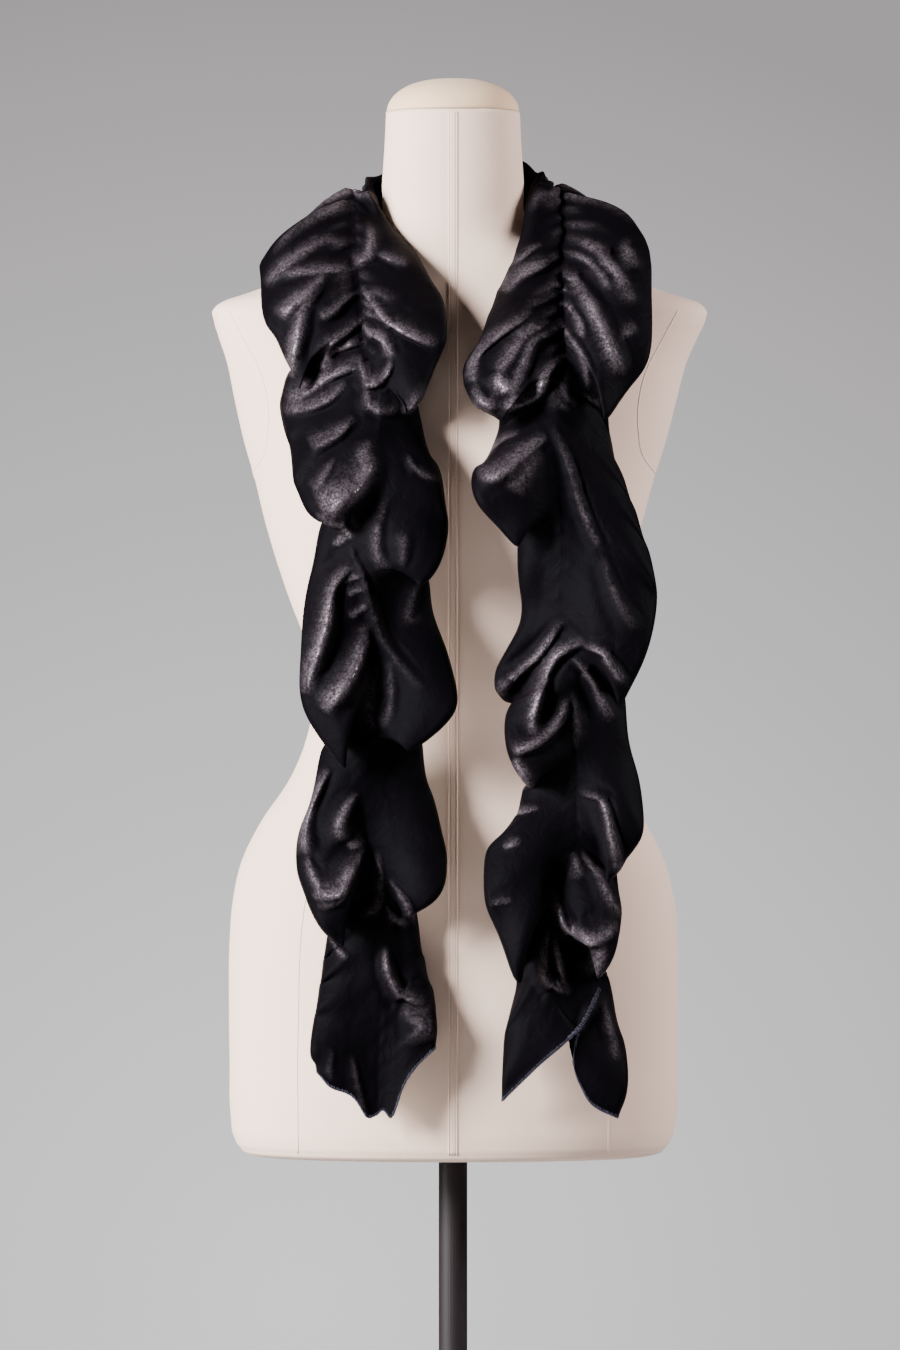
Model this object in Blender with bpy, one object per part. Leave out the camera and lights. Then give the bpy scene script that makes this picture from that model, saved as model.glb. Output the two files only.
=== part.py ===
"""A velvet scarf gathered along its middle, hung round the neck of a limbless dress form.

Lengths are millimetres. X points to the viewer's right, the form faces -Y and +Z is up.
The origin lies on the floor under the middle of the stand.
"""
import math
from collections import namedtuple

import bmesh
import bpy
import numpy as np

MM = 0.001

# Stand
BASE_RADIUS = 200.0
BASE_THICKNESS = 9.0
BASE_EDGE = 3.0
COLLAR_RADIUS = 24.0
COLLAR_TOP = 46.0
POLE_RADIUS = 11.0
POLE_FOOT = 14.0
SOCKET_DEPTH = 70.0
SLIDE_GAP = 0.3
STAND_SEGMENTS = 48
POLE_SEGMENTS = 32

# Dress form
FORM_SEGMENTS = 40
FORM_BOTTOM = 750.0
NECK_CENTRE_Y = 5.0
CAP_SEAM = 1553.0
CAP_TOP = 1579.0
CAP_RADIUS = 51.0
CAP_RINGS = 5
BUST_REACH = 13.0
BUST_ACROSS = 76.0
BUST_HEIGHT = 1262.0
BUST_WIDTH = 44.0
BUST_DROP = 52.0

# Scarf
WALL = 2.0
SEAM_GAP = 0.3
SEAT_CLEARANCE = 0.5
SEAT_PUSH_MOST = 12.0
SLOPE_STEP = 0.5
HALF_ROWS = 7
TAIL_SECTIONS = 58
NECK_SECTIONS = 20
LEFT_SEAM = 122.0
RIGHT_SEAM = 118.0
FLUTE_BELLY = 9.0
BELLY = 10.0
BELLY_SHARE = 0.25
BELLY_LEAST = 3.0
BELLY_MOST = 18.0
BELLY_OF_RIB = 0.2
SWELL_START = 0.8
SWELL_END = 1.5
SWELL_SCALE = 3.65
FLUTE_BOW = 0.10
FOLD_SETBACK = 2.0
FOLD_INSET = 12.0
FOLD_BACK_SHARE = 0.3
FOLD_FRONT_SHARE = 0.15
LOBE_WIDE_SHARE = 0.42
LOBE_LOW_SHARE = 0.88
RIDGE_NARROW = 0.7
RIDGE_OPENING = 0.5
RIDGE_TAIL = 0.15
RIDGE_FADE = 0.3
RIDGE_RISE = 0.15
HEM_CLOSER = 0.9
THREAD_WEIGHT = 0.6
SECTION_SAMPLES = 1200
FRONT_FOLD_LIFT = 0.3
FOLD_LIFT = 0.18
FOLD_LIFT_LEAST = 8.0
FOLD_LIFT_MOST = 20.0
NORMAL_STEP = 1.0
TURN_WEIGHT = 18.0
HEM_STEP = 4.0
HEM_SOFTNESS = 11.0
CORE_SHARE = 0.6
CORE_HEIGHT = 1428.0
FLAT_BELOW = 1370.0
ROUND_ABOVE = 1450.0

FormRing = namedtuple("FormRing", "height half_width front back shift squareness")
FORM_RINGS = (
    FormRing(750.0, 150.0, 90.0, 100.0, 0.0, 2.2),
    FormRing(751.5, 157.0, 96.0, 106.0, 0.0, 2.2),
    FormRing(756.0, 163.5, 101.0, 112.0, 0.0, 2.2),
    FormRing(764.0, 168.5, 104.0, 116.0, 0.0, 2.2),
    FormRing(780.0, 171.5, 106.0, 119.0, 0.5, 2.2),
    FormRing(823.0, 172.5, 107.0, 122.0, 0.5, 2.2),
    FormRing(869.0, 173.0, 107.0, 124.0, 0.5, 2.2),
    FormRing(915.0, 172.5, 106.0, 124.0, 0.5, 2.2),
    FormRing(946.0, 170.0, 104.0, 121.0, 0.5, 2.2),
    FormRing(977.0, 162.5, 101.0, 114.0, 0.0, 2.2),
    FormRing(1008.0, 147.0, 96.0, 104.0, 0.0, 2.2),
    FormRing(1039.0, 126.0, 90.0, 94.0, 0.0, 2.15),
    FormRing(1070.0, 113.0, 85.0, 86.0, 0.0, 2.1),
    FormRing(1105.0, 107.5, 83.0, 82.0, 0.0, 2.1),
    FormRing(1140.0, 112.0, 86.0, 84.0, 0.0, 2.1),
    FormRing(1177.0, 125.5, 91.0, 89.0, 0.0, 2.15),
    FormRing(1208.0, 136.0, 95.0, 95.0, 0.0, 2.2),
    FormRing(1239.0, 145.5, 98.0, 100.0, 0.5, 2.25),
    FormRing(1270.0, 153.5, 99.0, 104.0, 1.0, 2.3),
    FormRing(1300.0, 162.5, 98.0, 107.0, 1.5, 2.35),
    FormRing(1331.0, 170.0, 94.0, 108.0, 2.0, 2.4),
    FormRing(1362.0, 177.5, 86.0, 105.0, 3.0, 2.45),
    FormRing(1380.0, 182.0, 79.0, 100.0, 4.0, 2.5),
    FormRing(1392.0, 185.0, 74.0, 96.0, 5.0, 2.5),
    FormRing(1401.0, 184.0, 70.0, 92.0, 5.0, 2.5),
    FormRing(1407.0, 177.0, 67.0, 89.0, 5.0, 2.5),
    FormRing(1414.0, 160.0, 64.0, 85.0, 4.0, 2.5),
    FormRing(1423.0, 136.0, 60.0, 80.0, 3.0, 2.4),
    FormRing(1434.0, 107.0, 57.0, 74.0, 2.0, 2.3),
    FormRing(1445.0, 80.0, 54.0, 68.0, 1.0, 2.2),
    FormRing(1455.0, 63.0, 52.0, 64.0, 0.0, 2.1),
    FormRing(1466.0, 57.0, 51.0, 61.0, 0.0, 2.0),
    FormRing(1500.0, 54.5, 49.0, 59.0, 0.0, 2.0),
    FormRing(1530.0, 52.5, 47.5, 57.5, 0.0, 2.0),
    FormRing(CAP_SEAM - SLIDE_GAP, 51.5, 46.5, 56.5, 0.0, 2.0),
)

# Gathering thread of each side, from the middle of the back to the end of the tail
ThreadPoint = namedtuple("ThreadPoint", "across back height")
LEFT_THREAD = (
    ThreadPoint(0.0, 78.0, 1480.0),
    ThreadPoint(-38.0, 69.0, 1482.0),
    ThreadPoint(-63.0, 42.0, 1484.0),
    ThreadPoint(-69.0, 6.0, 1482.0),
    ThreadPoint(-71.0, -32.0, 1462.0),
    ThreadPoint(-71.0, -60.0, 1432.0),
    ThreadPoint(-69.0, -80.0, 1404.0),
    ThreadPoint(-67.0, -98.0, 1370.0),
    ThreadPoint(-60.0, -113.0, 1343.0),
    ThreadPoint(-57.0, -126.0, 1312.0),
    ThreadPoint(-63.0, -134.0, 1266.0),
    ThreadPoint(-71.0, -135.0, 1214.0),
    ThreadPoint(-65.0, -133.0, 1165.0),
    ThreadPoint(-60.0, -131.0, 1101.0),
    ThreadPoint(-68.0, -129.0, 1030.0),
    ThreadPoint(-66.0, -128.0, 999.0),
    ThreadPoint(-52.0, -127.0, 961.0),
    ThreadPoint(-51.0, -126.0, 916.0),
    ThreadPoint(-55.0, -124.0, 852.0),
    ThreadPoint(-57.0, -122.0, 788.0),
)
RIGHT_THREAD = (
    ThreadPoint(0.0, 78.0, 1480.0),
    ThreadPoint(38.0, 70.0, 1483.0),
    ThreadPoint(64.0, 44.0, 1487.0),
    ThreadPoint(74.0, 8.0, 1486.0),
    ThreadPoint(79.0, -24.0, 1465.0),
    ThreadPoint(79.0, -55.0, 1433.0),
    ThreadPoint(82.0, -78.0, 1403.0),
    ThreadPoint(84.0, -100.0, 1366.0),
    ThreadPoint(79.0, -120.0, 1327.0),
    ThreadPoint(79.0, -131.0, 1290.0),
    ThreadPoint(83.0, -134.0, 1229.0),
    ThreadPoint(82.0, -133.0, 1176.0),
    ThreadPoint(87.0, -132.0, 1140.0),
    ThreadPoint(88.0, -131.0, 1085.0),
    ThreadPoint(94.0, -129.0, 1031.0),
    ThreadPoint(94.0, -128.0, 998.0),
    ThreadPoint(80.0, -127.0, 955.0),
    ThreadPoint(76.0, -127.0, 920.0),
    ThreadPoint(74.0, -126.0, 880.0),
    ThreadPoint(72.0, -125.0, 840.0),
)

# Flutes behind the neck: root along the thread, bearing from the middle of the back
Flute = namedtuple("Flute", "root bearing radius height")
LEFT_OUTER_FLUTES = (
    Flute(0.0, 0.0, 98.0, 1398.0),
    Flute(26.0, 20.0, 114.0, 1404.0),
    Flute(50.0, 40.0, 104.0, 1404.0),
    Flute(74.0, 60.0, 130.0, 1411.0),
    Flute(102.0, 80.0, 138.0, 1421.0),
)
RIGHT_OUTER_FLUTES = (
    Flute(0.0, 0.0, 98.0, 1398.0),
    Flute(27.0, 22.0, 115.0, 1402.0),
    Flute(50.0, 41.0, 105.0, 1405.0),
    Flute(73.0, 59.0, 128.0, 1416.0),
    Flute(98.0, 77.0, 131.0, 1440.0),
)
LEFT_INNER_FLUTES = (
    Flute(0.0, 0.0, 64.0, 1528.0),
    Flute(24.0, 20.0, 79.0, 1524.0),
    Flute(46.0, 40.0, 62.0, 1524.0),
    Flute(68.0, 56.0, 66.0, 1512.0),
    Flute(88.0, 80.0, 60.0, 1500.0),
    Flute(112.0, 108.0, 59.0, 1490.0),
)
RIGHT_INNER_FLUTES = (
    Flute(0.0, 0.0, 64.0, 1528.0),
    Flute(26.0, 19.0, 78.0, 1526.0),
    Flute(48.0, 38.0, 63.0, 1524.0),
    Flute(70.0, 55.0, 70.0, 1514.0),
    Flute(92.0, 78.0, 64.0, 1508.0),
    Flute(114.0, 104.0, 60.0, 1500.0),
)

# Ruffle lobes down each half: where the hem comes out, is widest, runs low and folds under
Lobe = namedtuple(
    "Lobe",
    "root top_x top_z wide_x wide_z low_x low_z foot_x foot_z top_forward foot_forward bow",
    defaults=(0.10,),
)
LEFT_OUTER_LOBES = (
    Lobe(140, -147, 1426, -146, 1404, -134, 1373, -114, 1338, 25, 101),
    Lobe(285, -131, 1328, -123, 1292, -111, 1245, -81, 1227, 80, 150),
    Lobe(425, -103, 1216, -114, 1146, -110, 1087, -80, 1050, 118, 158),
    Lobe(575, -103, 1042, -118, 988, -109, 947, -82, 913, 118, 155),
    Lobe(705, -97, 906, -103, 867, -108, 833, -107, 815, 118, 136, 0.04),
)
LEFT_INNER_LOBES = (
    Lobe(135, -51, 1469, -18, 1425, -6, 1369, -36, 1315, 40, 138),
    Lobe(345, -25, 1308, -8, 1264, -9, 1206, -26, 1183, 114, 152),
    Lobe(490, -17, 1172, -2, 1127, 3, 1097, -35, 1060, 118, 156),
    Lobe(615, -22, 1050, -9, 1003, -5, 966, -37, 934, 118, 152),
    Lobe(735, -24, 910, -15, 878, -12, 852, -14, 837, 118, 134, 0.04),
)
RIGHT_OUTER_LOBES = (
    Lobe(125, 135, 1460, 148, 1434, 140, 1345, 113, 1312, 5, 132),
    Lobe(300, 118, 1300, 135, 1249, 153, 1170, 124, 1095, 102, 152),
    Lobe(560, 131, 1078, 142, 1027, 141, 997, 115, 964, 118, 152),
    Lobe(665, 125, 953, 126, 937, 121, 909, 108, 888, 122, 152),
    Lobe(735, 121, 870, 129, 840, 132, 812, 124, 784, 108, 122, -0.08),
)
RIGHT_INNER_LOBES = (
    Lobe(142, 53, 1465, 35, 1409, 11, 1332, 38, 1309, 38, 138),
    Lobe(330, 35, 1300, 23, 1283, 13, 1264, 50, 1217, 108, 150),
    Lobe(440, 49, 1206, 52, 1158, 31, 1111, 44, 1097, 122, 110),
    Lobe(545, 42, 1096, 39, 1074, 45, 1052, 60, 1031, 138, 154),
    Lobe(620, 52, 1021, 26, 988, 25, 950, 52, 889, 116, 150),
    Lobe(725, 48, 878, 41, 859, 38, 829, 37, 797, 115, 130, 0.02),
)

# Long soft ridges that leave the thread: a width and a height along the cloth, and how far out they run
Ridge = namedtuple("Ridge", "root slant height width reach")
LEFT_OUTER_RIDGES = (
    Ridge(165, -8, 6, 15, 1.0),
    Ridge(210, 8, 6, 13, 0.8),
    Ridge(262, 6, 6, 14, 0.6),
    Ridge(305, 0, 6, 13, 1.0),
    Ridge(365, 10, 7, 24, 0.8),
    Ridge(455, 10, 7, 15, 1.0),
    Ridge(505, 6, 7, 15, 0.8),
    Ridge(605, 4, 6, 14, 1.0),
    Ridge(660, 4, 7, 15, 0.9),
    Ridge(775, 0, 4, 18, 0.9),
)
LEFT_INNER_RIDGES = (
    Ridge(175, 0, 5, 14, 0.8),
    Ridge(225, 6, 6, 14, 1.0),
    Ridge(265, 4, 7, 14, 0.6),
    Ridge(310, 0, 5, 12, 0.7),
    Ridge(385, 6, 6, 22, 0.8),
    Ridge(440, 6, 5, 15, 0.8),
    Ridge(530, 6, 6, 20, 0.8),
    Ridge(650, 6, 6, 18, 0.8),
    Ridge(745, 6, 6, 15, 0.9),
)
RIGHT_OUTER_RIDGES = (
    Ridge(160, 4, 6, 15, 1.0),
    Ridge(205, 8, 6, 12, 0.8),
    Ridge(245, 8, 6, 14, 0.9),
    Ridge(282, 6, 6, 13, 0.6),
    Ridge(368, 14, 7, 15, 1.0),
    Ridge(430, 10, 5, 20, 0.8),
    Ridge(515, 10, 6, 15, 0.9),
    Ridge(610, 8, 5, 14, 0.8),
    Ridge(668, 4, 6, 12, 0.9),
    Ridge(705, 4, 6, 12, 0.9),
)
RIGHT_INNER_RIDGES = (
    Ridge(222, 8, 6, 14, 1.0),
    Ridge(262, 10, 7, 13, 0.8),
    Ridge(300, 6, 6, 12, 0.8),
    Ridge(352, 4, 7, 14, 1.0),
    Ridge(420, 6, 5, 20, 0.8),
    Ridge(508, 8, 7, 13, 0.9),
    Ridge(562, 6, 6, 13, 0.9),
    Ridge(645, 4, 5, 18, 0.8),
    Ridge(715, 6, 6, 13, 0.6),
)

VELVET_BLACK = (0.012, 0.010, 0.013, 1.0)
CREAM = (0.86, 0.80, 0.72, 1.0)
CAP_CREAM = (0.80, 0.72, 0.58, 1.0)
STAND_BLACK = (0.03, 0.025, 0.025, 1.0)


class Curve:
    """Smooth curve through rows of numbers at rising parameter values."""

    def __init__(self, params, rows):
        self.t = np.asarray(params, float)
        self.p = np.asarray(rows, float)
        slope = np.diff(self.p, axis=0) / np.diff(self.t)[:, None]
        step = np.diff(self.t)
        inner = (slope[:-1] * step[1:, None] + slope[1:] * step[:-1, None])
        inner /= (step[1:] + step[:-1])[:, None]
        self.m = np.vstack([slope[:1], inner, slope[-1:]])

    def __call__(self, at):
        at = np.clip(np.atleast_1d(np.asarray(at, float)), self.t[0], self.t[-1])
        i = np.clip(np.searchsorted(self.t, at, side="right") - 1, 0, len(self.t) - 2)
        h = (self.t[i + 1] - self.t[i])[:, None]
        u = (at - self.t[i])[:, None] / h
        return (
            (2 * u**3 - 3 * u**2 + 1) * self.p[i]
            + (u**3 - 2 * u**2 + u) * h * self.m[i]
            + (3 * u**2 - 2 * u**3) * self.p[i + 1]
            + (u**3 - u**2) * h * self.m[i + 1]
        )


def softened(curve):
    """The same curve with its turns rounded to a radius that the wall can follow."""
    count = int(curve.t[-1] / HEM_STEP) + 1
    along = np.linspace(curve.t[0], curve.t[-1], count)
    points = curve(along)
    gap = along[:, None] - along[None, :]
    weight = np.exp(-(gap / HEM_SOFTNESS) ** 2)
    for end in (0, -1):
        weight[end] = 0.0
        weight[end, end] = 1.0
    weight /= weight.sum(axis=1, keepdims=True)
    return Curve(along, weight @ points)


def chord_lengths(points):
    """Distance along a row of points, starting at zero."""
    steps = np.linalg.norm(np.diff(np.asarray(points, float), axis=0), axis=1)
    return np.concatenate([[0.0], np.cumsum(steps)])


def unit(vectors):
    """Vectors scaled to length one."""
    return vectors / np.maximum(np.linalg.norm(vectors, axis=-1, keepdims=True), 1e-9)


FORM_CURVE = Curve([r.height for r in FORM_RINGS], [r[1:] for r in FORM_RINGS])


def bust(x, z):
    """How far the chest stands forward of its plain oval."""
    side = np.exp(-((np.abs(x) - BUST_ACROSS) / BUST_WIDTH) ** 2)
    level = np.exp(-((z - BUST_HEIGHT) / BUST_DROP) ** 2)
    return BUST_REACH * side * level


def form_excess(points):
    """Positive outside the form, near zero on its skin, as a share of its radius."""
    x, y, z = points.T
    width, front, back, shift, power = FORM_CURVE(z).T
    depth = np.where(y < 0, front + bust(x, z), back)
    return ((np.abs(x - shift) / width) ** power + (np.abs(y) / depth) ** power) ** (1 / power) - 1


def form_distance(points):
    """Distance to the form's skin and the outward direction there."""
    step = SLOPE_STEP
    grad = np.empty_like(points)
    for axis in range(3):
        offset = np.zeros(3)
        offset[axis] = step
        grad[:, axis] = form_excess(points + offset) - form_excess(points - offset)
    grad /= 2 * step
    size = np.maximum(np.linalg.norm(grad, axis=1), 1e-6)
    return form_excess(points) / size, grad / size[:, None]


def rest_on_form(points, clearance):
    """Moves points that are in or too near the form out to the clearance."""
    for _ in range(4):
        gap, outward = form_distance(points)
        push = np.clip(clearance - gap, 0.0, SEAT_PUSH_MOST)
        points = points + outward * push[:, None]
    return points


class Half:
    """One half width of the scarf on one side: its hem as a curve over the thread."""

    def __init__(self, side, flutes, lobes, ridges, thread):
        thread_length = thread.t[-1]
        points = []
        extras = []
        roots = []
        self.ridges = ridges
        for flute in flutes:
            bearing = math.radians(flute.bearing)
            across = side * flute.radius * math.sin(bearing)
            points.append((across, NECK_CENTRE_Y + flute.radius * math.cos(bearing), flute.height))
            extras.append((FLUTE_BELLY, FLUTE_BOW))
            roots.append(flute.root)
        for lobe, after in zip(lobes, lobes[1:] + (None,)):
            rows = self.lobe_rows(lobe, after)
            stops = chord_lengths(rows)
            end = after.root if after else thread_length
            share = (end - lobe.root) / stops[-1]
            for row, stop in zip(rows[:-1], stops):
                points.append(row)
                extras.append((self.belly(row, lobe.root + stop * share, thread), lobe.bow))
                roots.append(lobe.root + stop * share)
        points.append(rows[-1])
        extras.append((self.belly(rows[-1], thread_length, thread), lobes[-1].bow))
        roots.append(thread_length)
        along = chord_lengths(points)
        self.hem = softened(Curve(along, points))
        self.extra = Curve(along, extras)
        self.roots = np.array(roots)
        self.along = along

    @staticmethod
    def belly(hem, root, thread):
        """How far the middle of a rib swells: more where the hem stands forward of the thread."""
        forward = thread(root)[0, 1] - hem[1]
        return min(max(BELLY + BELLY_SHARE * forward, BELLY_LEAST), BELLY_MOST)

    @staticmethod
    def lobe_rows(lobe, after):
        """Hem points of one lobe, and of the fold that goes under the lobe to the next."""
        near, far = lobe.top_forward, lobe.foot_forward
        places = (
            (lobe.top_x, lobe.top_z, 0.0),
            (lobe.wide_x, lobe.wide_z, LOBE_WIDE_SHARE),
            (lobe.low_x, lobe.low_z, LOBE_LOW_SHARE),
            (lobe.foot_x, lobe.foot_z, 1.0),
        )
        rows = [(x, -(near + (far - near) * share), z) for x, z, share in places]
        if after is None:
            return rows
        under = after.top_forward < far
        lift = min(max(FOLD_LIFT * (lobe.top_z - lobe.foot_z), FOLD_LIFT_LEAST), FOLD_LIFT_MOST)
        if not under:
            lift *= FRONT_FOLD_LIFT
        gap_x = after.top_x - lobe.foot_x
        inward = -math.copysign(FOLD_INSET, gap_x) if not under else 0.0
        middle = (far + after.top_forward) / 2
        behind = after.top_forward - (FOLD_SETBACK if under else 0.0)
        back_x = lobe.foot_x + FOLD_BACK_SHARE * gap_x + inward
        front_x = after.top_x - FOLD_FRONT_SHARE * gap_x + inward
        rows.append((back_x, -middle, lobe.foot_z + lift))
        rows.append((front_x, -behind, after.top_z + lift))
        rows.append((after.top_x, -after.top_forward, after.top_z))
        return rows

    def at(self, root):
        """Hem point, belly and bow for places along the thread."""
        along = np.interp(root, self.roots, self.along)
        return self.hem(along), self.extra(along)

    def ridge_height(self, root, v):
        """Height of the long ridges over a grid of ribs and shares."""
        total = np.zeros((len(root), len(v)))
        for ridge in self.ridges:
            off = root[:, None] - ridge.root - ridge.slant * v[None, :]
            spread = ridge.width * (RIDGE_NARROW + RIDGE_OPENING * v[None, :])
            fade = np.clip((ridge.reach + RIDGE_TAIL - v) / RIDGE_FADE, 0.0, 1.0)
            rise = np.clip(v / RIDGE_RISE, 0.0, 1.0)
            shape = fade * fade * (3 - 2 * fade) * rise * (2 - rise)
            total += ridge.height * np.exp(-(off / spread) ** 2) * shape[None, :]
        return total


class Scarf:
    """The whole gathered strip; a place is its distance along the thread, left negative."""

    def __init__(self):
        left = np.array(LEFT_THREAD)
        right = np.array(RIGHT_THREAD)
        self.left_length = chord_lengths(left)[-1]
        self.right_length = chord_lengths(right)[-1]
        line = np.vstack([left[:0:-1], right])
        places = np.concatenate([-chord_lengths(left)[:0:-1], chord_lengths(right)])
        self.thread = Curve(places, line)
        left_thread = Curve(chord_lengths(left), left)
        right_thread = Curve(chord_lengths(right), right)
        self.halves = {
            ("left", "outer"): Half(
                -1, LEFT_OUTER_FLUTES, LEFT_OUTER_LOBES, LEFT_OUTER_RIDGES, left_thread
            ),
            ("left", "inner"): Half(
                -1, LEFT_INNER_FLUTES, LEFT_INNER_LOBES, LEFT_INNER_RIDGES, left_thread
            ),
            ("right", "outer"): Half(
                1, RIGHT_OUTER_FLUTES, RIGHT_OUTER_LOBES, RIGHT_OUTER_RIDGES, right_thread
            ),
            ("right", "inner"): Half(
                1, RIGHT_INNER_FLUTES, RIGHT_INNER_LOBES, RIGHT_INNER_RIDGES, right_thread
            ),
        }

    def facing(self, roots):
        """Direction away from the wearer at points of the thread."""
        core = roots * (CORE_SHARE, 0.0, 0.0) + (0.0, NECK_CENTRE_Y, CORE_HEIGHT)
        spread = unit(roots - core)
        blend = np.clip((roots[:, 2] - FLAT_BELOW) / (ROUND_ABOVE - FLAT_BELOW), 0.0, 1.0)[:, None]
        return unit(spread * blend + np.array([0.0, -1.0, 0.0]) * (1 - blend))

    def hem(self, kind, places, shares):
        """Hem points, bellies with bows, and ridge heights of one kind of half for signed places."""
        hem = np.empty((len(places), 3))
        extra = np.empty((len(places), 2))
        ridges = np.empty((len(places), len(shares)))
        for side, mask in (("left", places < 0), ("right", places >= 0)):
            if mask.any():
                half = self.halves[side, kind]
                root = np.abs(places[mask])
                hem[mask], extra[mask] = half.at(root)
                ridges[mask] = half.ridge_height(root, shares)
        return hem, extra, ridges

    def ribs(self, kind, places, shares):
        """Grid of points: a rib for each place, a row for each share of the way to the hem."""
        roots = self.thread(places)
        hem, extra, ridges = self.hem(kind, places, shares)
        out = self.facing(roots)
        chord = hem - roots
        along = unit(chord)
        length = np.linalg.norm(chord, axis=1, keepdims=True)
        belly = np.minimum(extra[:, :1], length * BELLY_OF_RIB)
        rise = np.array([0.0, 0.0, 1.0]) - along * along[:, 2:3]
        rise = unit(rise) * length * extra[:, 1:2]
        v = shares[None, :, None]
        swell = SWELL_SCALE * v**SWELL_START * (1 - v) ** SWELL_END
        bow = 4 * v * (1 - v)
        return (
            roots[:, None] + chord[:, None] * v
            + out[:, None] * (belly[:, None] * swell + ridges[:, :, None])
            + rise[:, None] * bow
        )

    def sections(self, start, end, count):
        """Places of the sections, closer together where the hems turn or run fast."""
        fine = np.linspace(start, end, SECTION_SAMPLES)
        weight = np.zeros(len(fine) - 1)
        for kind in ("outer", "inner"):
            hem = self.hem(kind, fine, np.ones(1))[0]
            step = np.diff(hem, axis=0)
            run = np.linalg.norm(step, axis=1)
            turn = np.linalg.norm(np.diff(unit(step), axis=0), axis=1)
            weight += run + TURN_WEIGHT * np.concatenate([[0.0], turn])
        weight += THREAD_WEIGHT * np.diff(fine)
        total = np.concatenate([[0.0], np.cumsum(weight)])
        return np.interp(np.linspace(0, total[-1], count + 1), total, fine)

    def surface(self, places, rows):
        """Grid of mid-wall points over both halves, from outer hem to inner hem."""
        shares = np.linspace(0.0, 1.0, rows + 1) ** HEM_CLOSER
        outer = self.ribs("outer", places, shares)
        inner = self.ribs("inner", places, shares)
        grid = np.concatenate([outer[:, ::-1], inner[:, 1:]], axis=1)
        shape = grid.shape
        return rest_on_form(grid.reshape(-1, 3), SEAT_CLEARANCE + WALL / 2).reshape(shape)

    def sheet(self, start, end, count, rows):
        """Mid-wall points of one stretch and the unit normals of its cloth."""
        places = self.sections(start, end, count)
        grid = self.surface(places, rows)
        ends = places[[0, -1]]
        along = np.gradient(grid, axis=0)
        step = self.surface(ends + NORMAL_STEP, rows) - self.surface(ends - NORMAL_STEP, rows)
        along[[0, -1]] = step
        across = np.gradient(grid, axis=1)
        return grid, unit(np.cross(along, across))


def add_material(obj, name, colour, roughness):
    """Gives an object its own plain material."""
    material = bpy.data.materials.new(name)
    material.use_nodes = True
    shader = material.node_tree.nodes["Principled BSDF"]
    shader.inputs["Base Color"].default_value = colour
    shader.inputs["Roughness"].default_value = roughness
    material.diffuse_color = colour
    obj.data.materials.append(material)


def add_object(name, vertices, faces, colour, roughness):
    """Makes one closed, outward-facing, smooth-shaded body from millimetre points."""
    mesh = bpy.data.meshes.new(name)
    mesh.from_pydata([tuple(float(c) * MM for c in v) for v in vertices], [], faces)
    body = bmesh.new()
    body.from_mesh(mesh)
    bmesh.ops.recalc_face_normals(body, faces=body.faces)
    bmesh.ops.triangulate(body, faces=body.faces)
    if body.calc_volume(signed=True) < 0:
        bmesh.ops.reverse_faces(body, faces=body.faces)
    body.to_mesh(mesh)
    body.free()
    for polygon in mesh.polygons:
        polygon.use_smooth = True
    obj = bpy.data.objects.new(name, mesh)
    bpy.context.scene.collection.objects.link(obj)
    add_material(obj, name + "_material", colour, roughness)
    return obj


def loft_faces(ring_count, segments):
    """Quads between rings, with a fan at the first and the last ring."""
    faces = []
    for i in range(ring_count - 1):
        for j in range(segments):
            k = (j + 1) % segments
            faces.append((i * segments + j, i * segments + k, (i + 1) * segments + k, (i + 1) * segments + j))
    low = ring_count * segments
    high = low + 1
    for j in range(segments):
        k = (j + 1) % segments
        faces.append((low, k, j))
        faces.append((high, (ring_count - 1) * segments + j, (ring_count - 1) * segments + k))
    return faces


def loft(name, rings, colour, roughness):
    """Closes a stack of equal rings into a body, each end with a fan round its middle."""
    rings = [np.asarray(ring, float) for ring in rings]
    vertices = np.vstack(rings + [rings[0].mean(axis=0)[None], rings[-1].mean(axis=0)[None]])
    return add_object(name, vertices, loft_faces(len(rings), len(rings[0])), colour, roughness)


def circle(radius, height, segments, centre_y=0.0):
    """A level ring of points."""
    turn = np.linspace(0, 2 * math.pi, segments, endpoint=False)
    return np.stack([radius * np.cos(turn), centre_y + radius * np.sin(turn), np.full(segments, height)], 1)


def form_ring(height):
    """Level ring of the dress form's skin."""
    width, front, back, shift, power = FORM_CURVE(height)[0]
    turn = np.linspace(0, 2 * math.pi, FORM_SEGMENTS, endpoint=False)
    c, s = np.cos(turn), np.sin(turn)
    x = shift + width * np.sign(c) * np.abs(c) ** (2 / power)
    swell = np.where(s < 0, front + bust(x, height), back)
    y = swell * np.sign(s) * np.abs(s) ** (2 / power)
    return np.stack([x, y, np.full(FORM_SEGMENTS, height)], 1)


def build_torso():
    """Torso and neck in one, with the pole's socket in its underside."""
    socket = POLE_RADIUS + SLIDE_GAP
    rings = [
        circle(socket, FORM_BOTTOM + SOCKET_DEPTH, FORM_SEGMENTS),
        circle(socket, FORM_BOTTOM, FORM_SEGMENTS),
    ]
    rings += [form_ring(row.height) for row in FORM_RINGS]
    return loft("dress_form_torso", rings, CREAM, 0.85)


def build_cap():
    """Domed cap that closes the neck."""
    rise = CAP_TOP - CAP_SEAM
    rings = [circle(CAP_RADIUS, CAP_SEAM, FORM_SEGMENTS, NECK_CENTRE_Y)]
    for i in range(CAP_RINGS):
        angle = math.radians(90.0 * (i + 0.6) / CAP_RINGS)
        radius = CAP_RADIUS * math.cos(angle) ** 0.8
        rings.append(circle(radius, CAP_SEAM + rise * math.sin(angle), FORM_SEGMENTS, NECK_CENTRE_Y))
    return loft("dress_form_neck_cap", rings, CAP_CREAM, 0.8)


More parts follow.
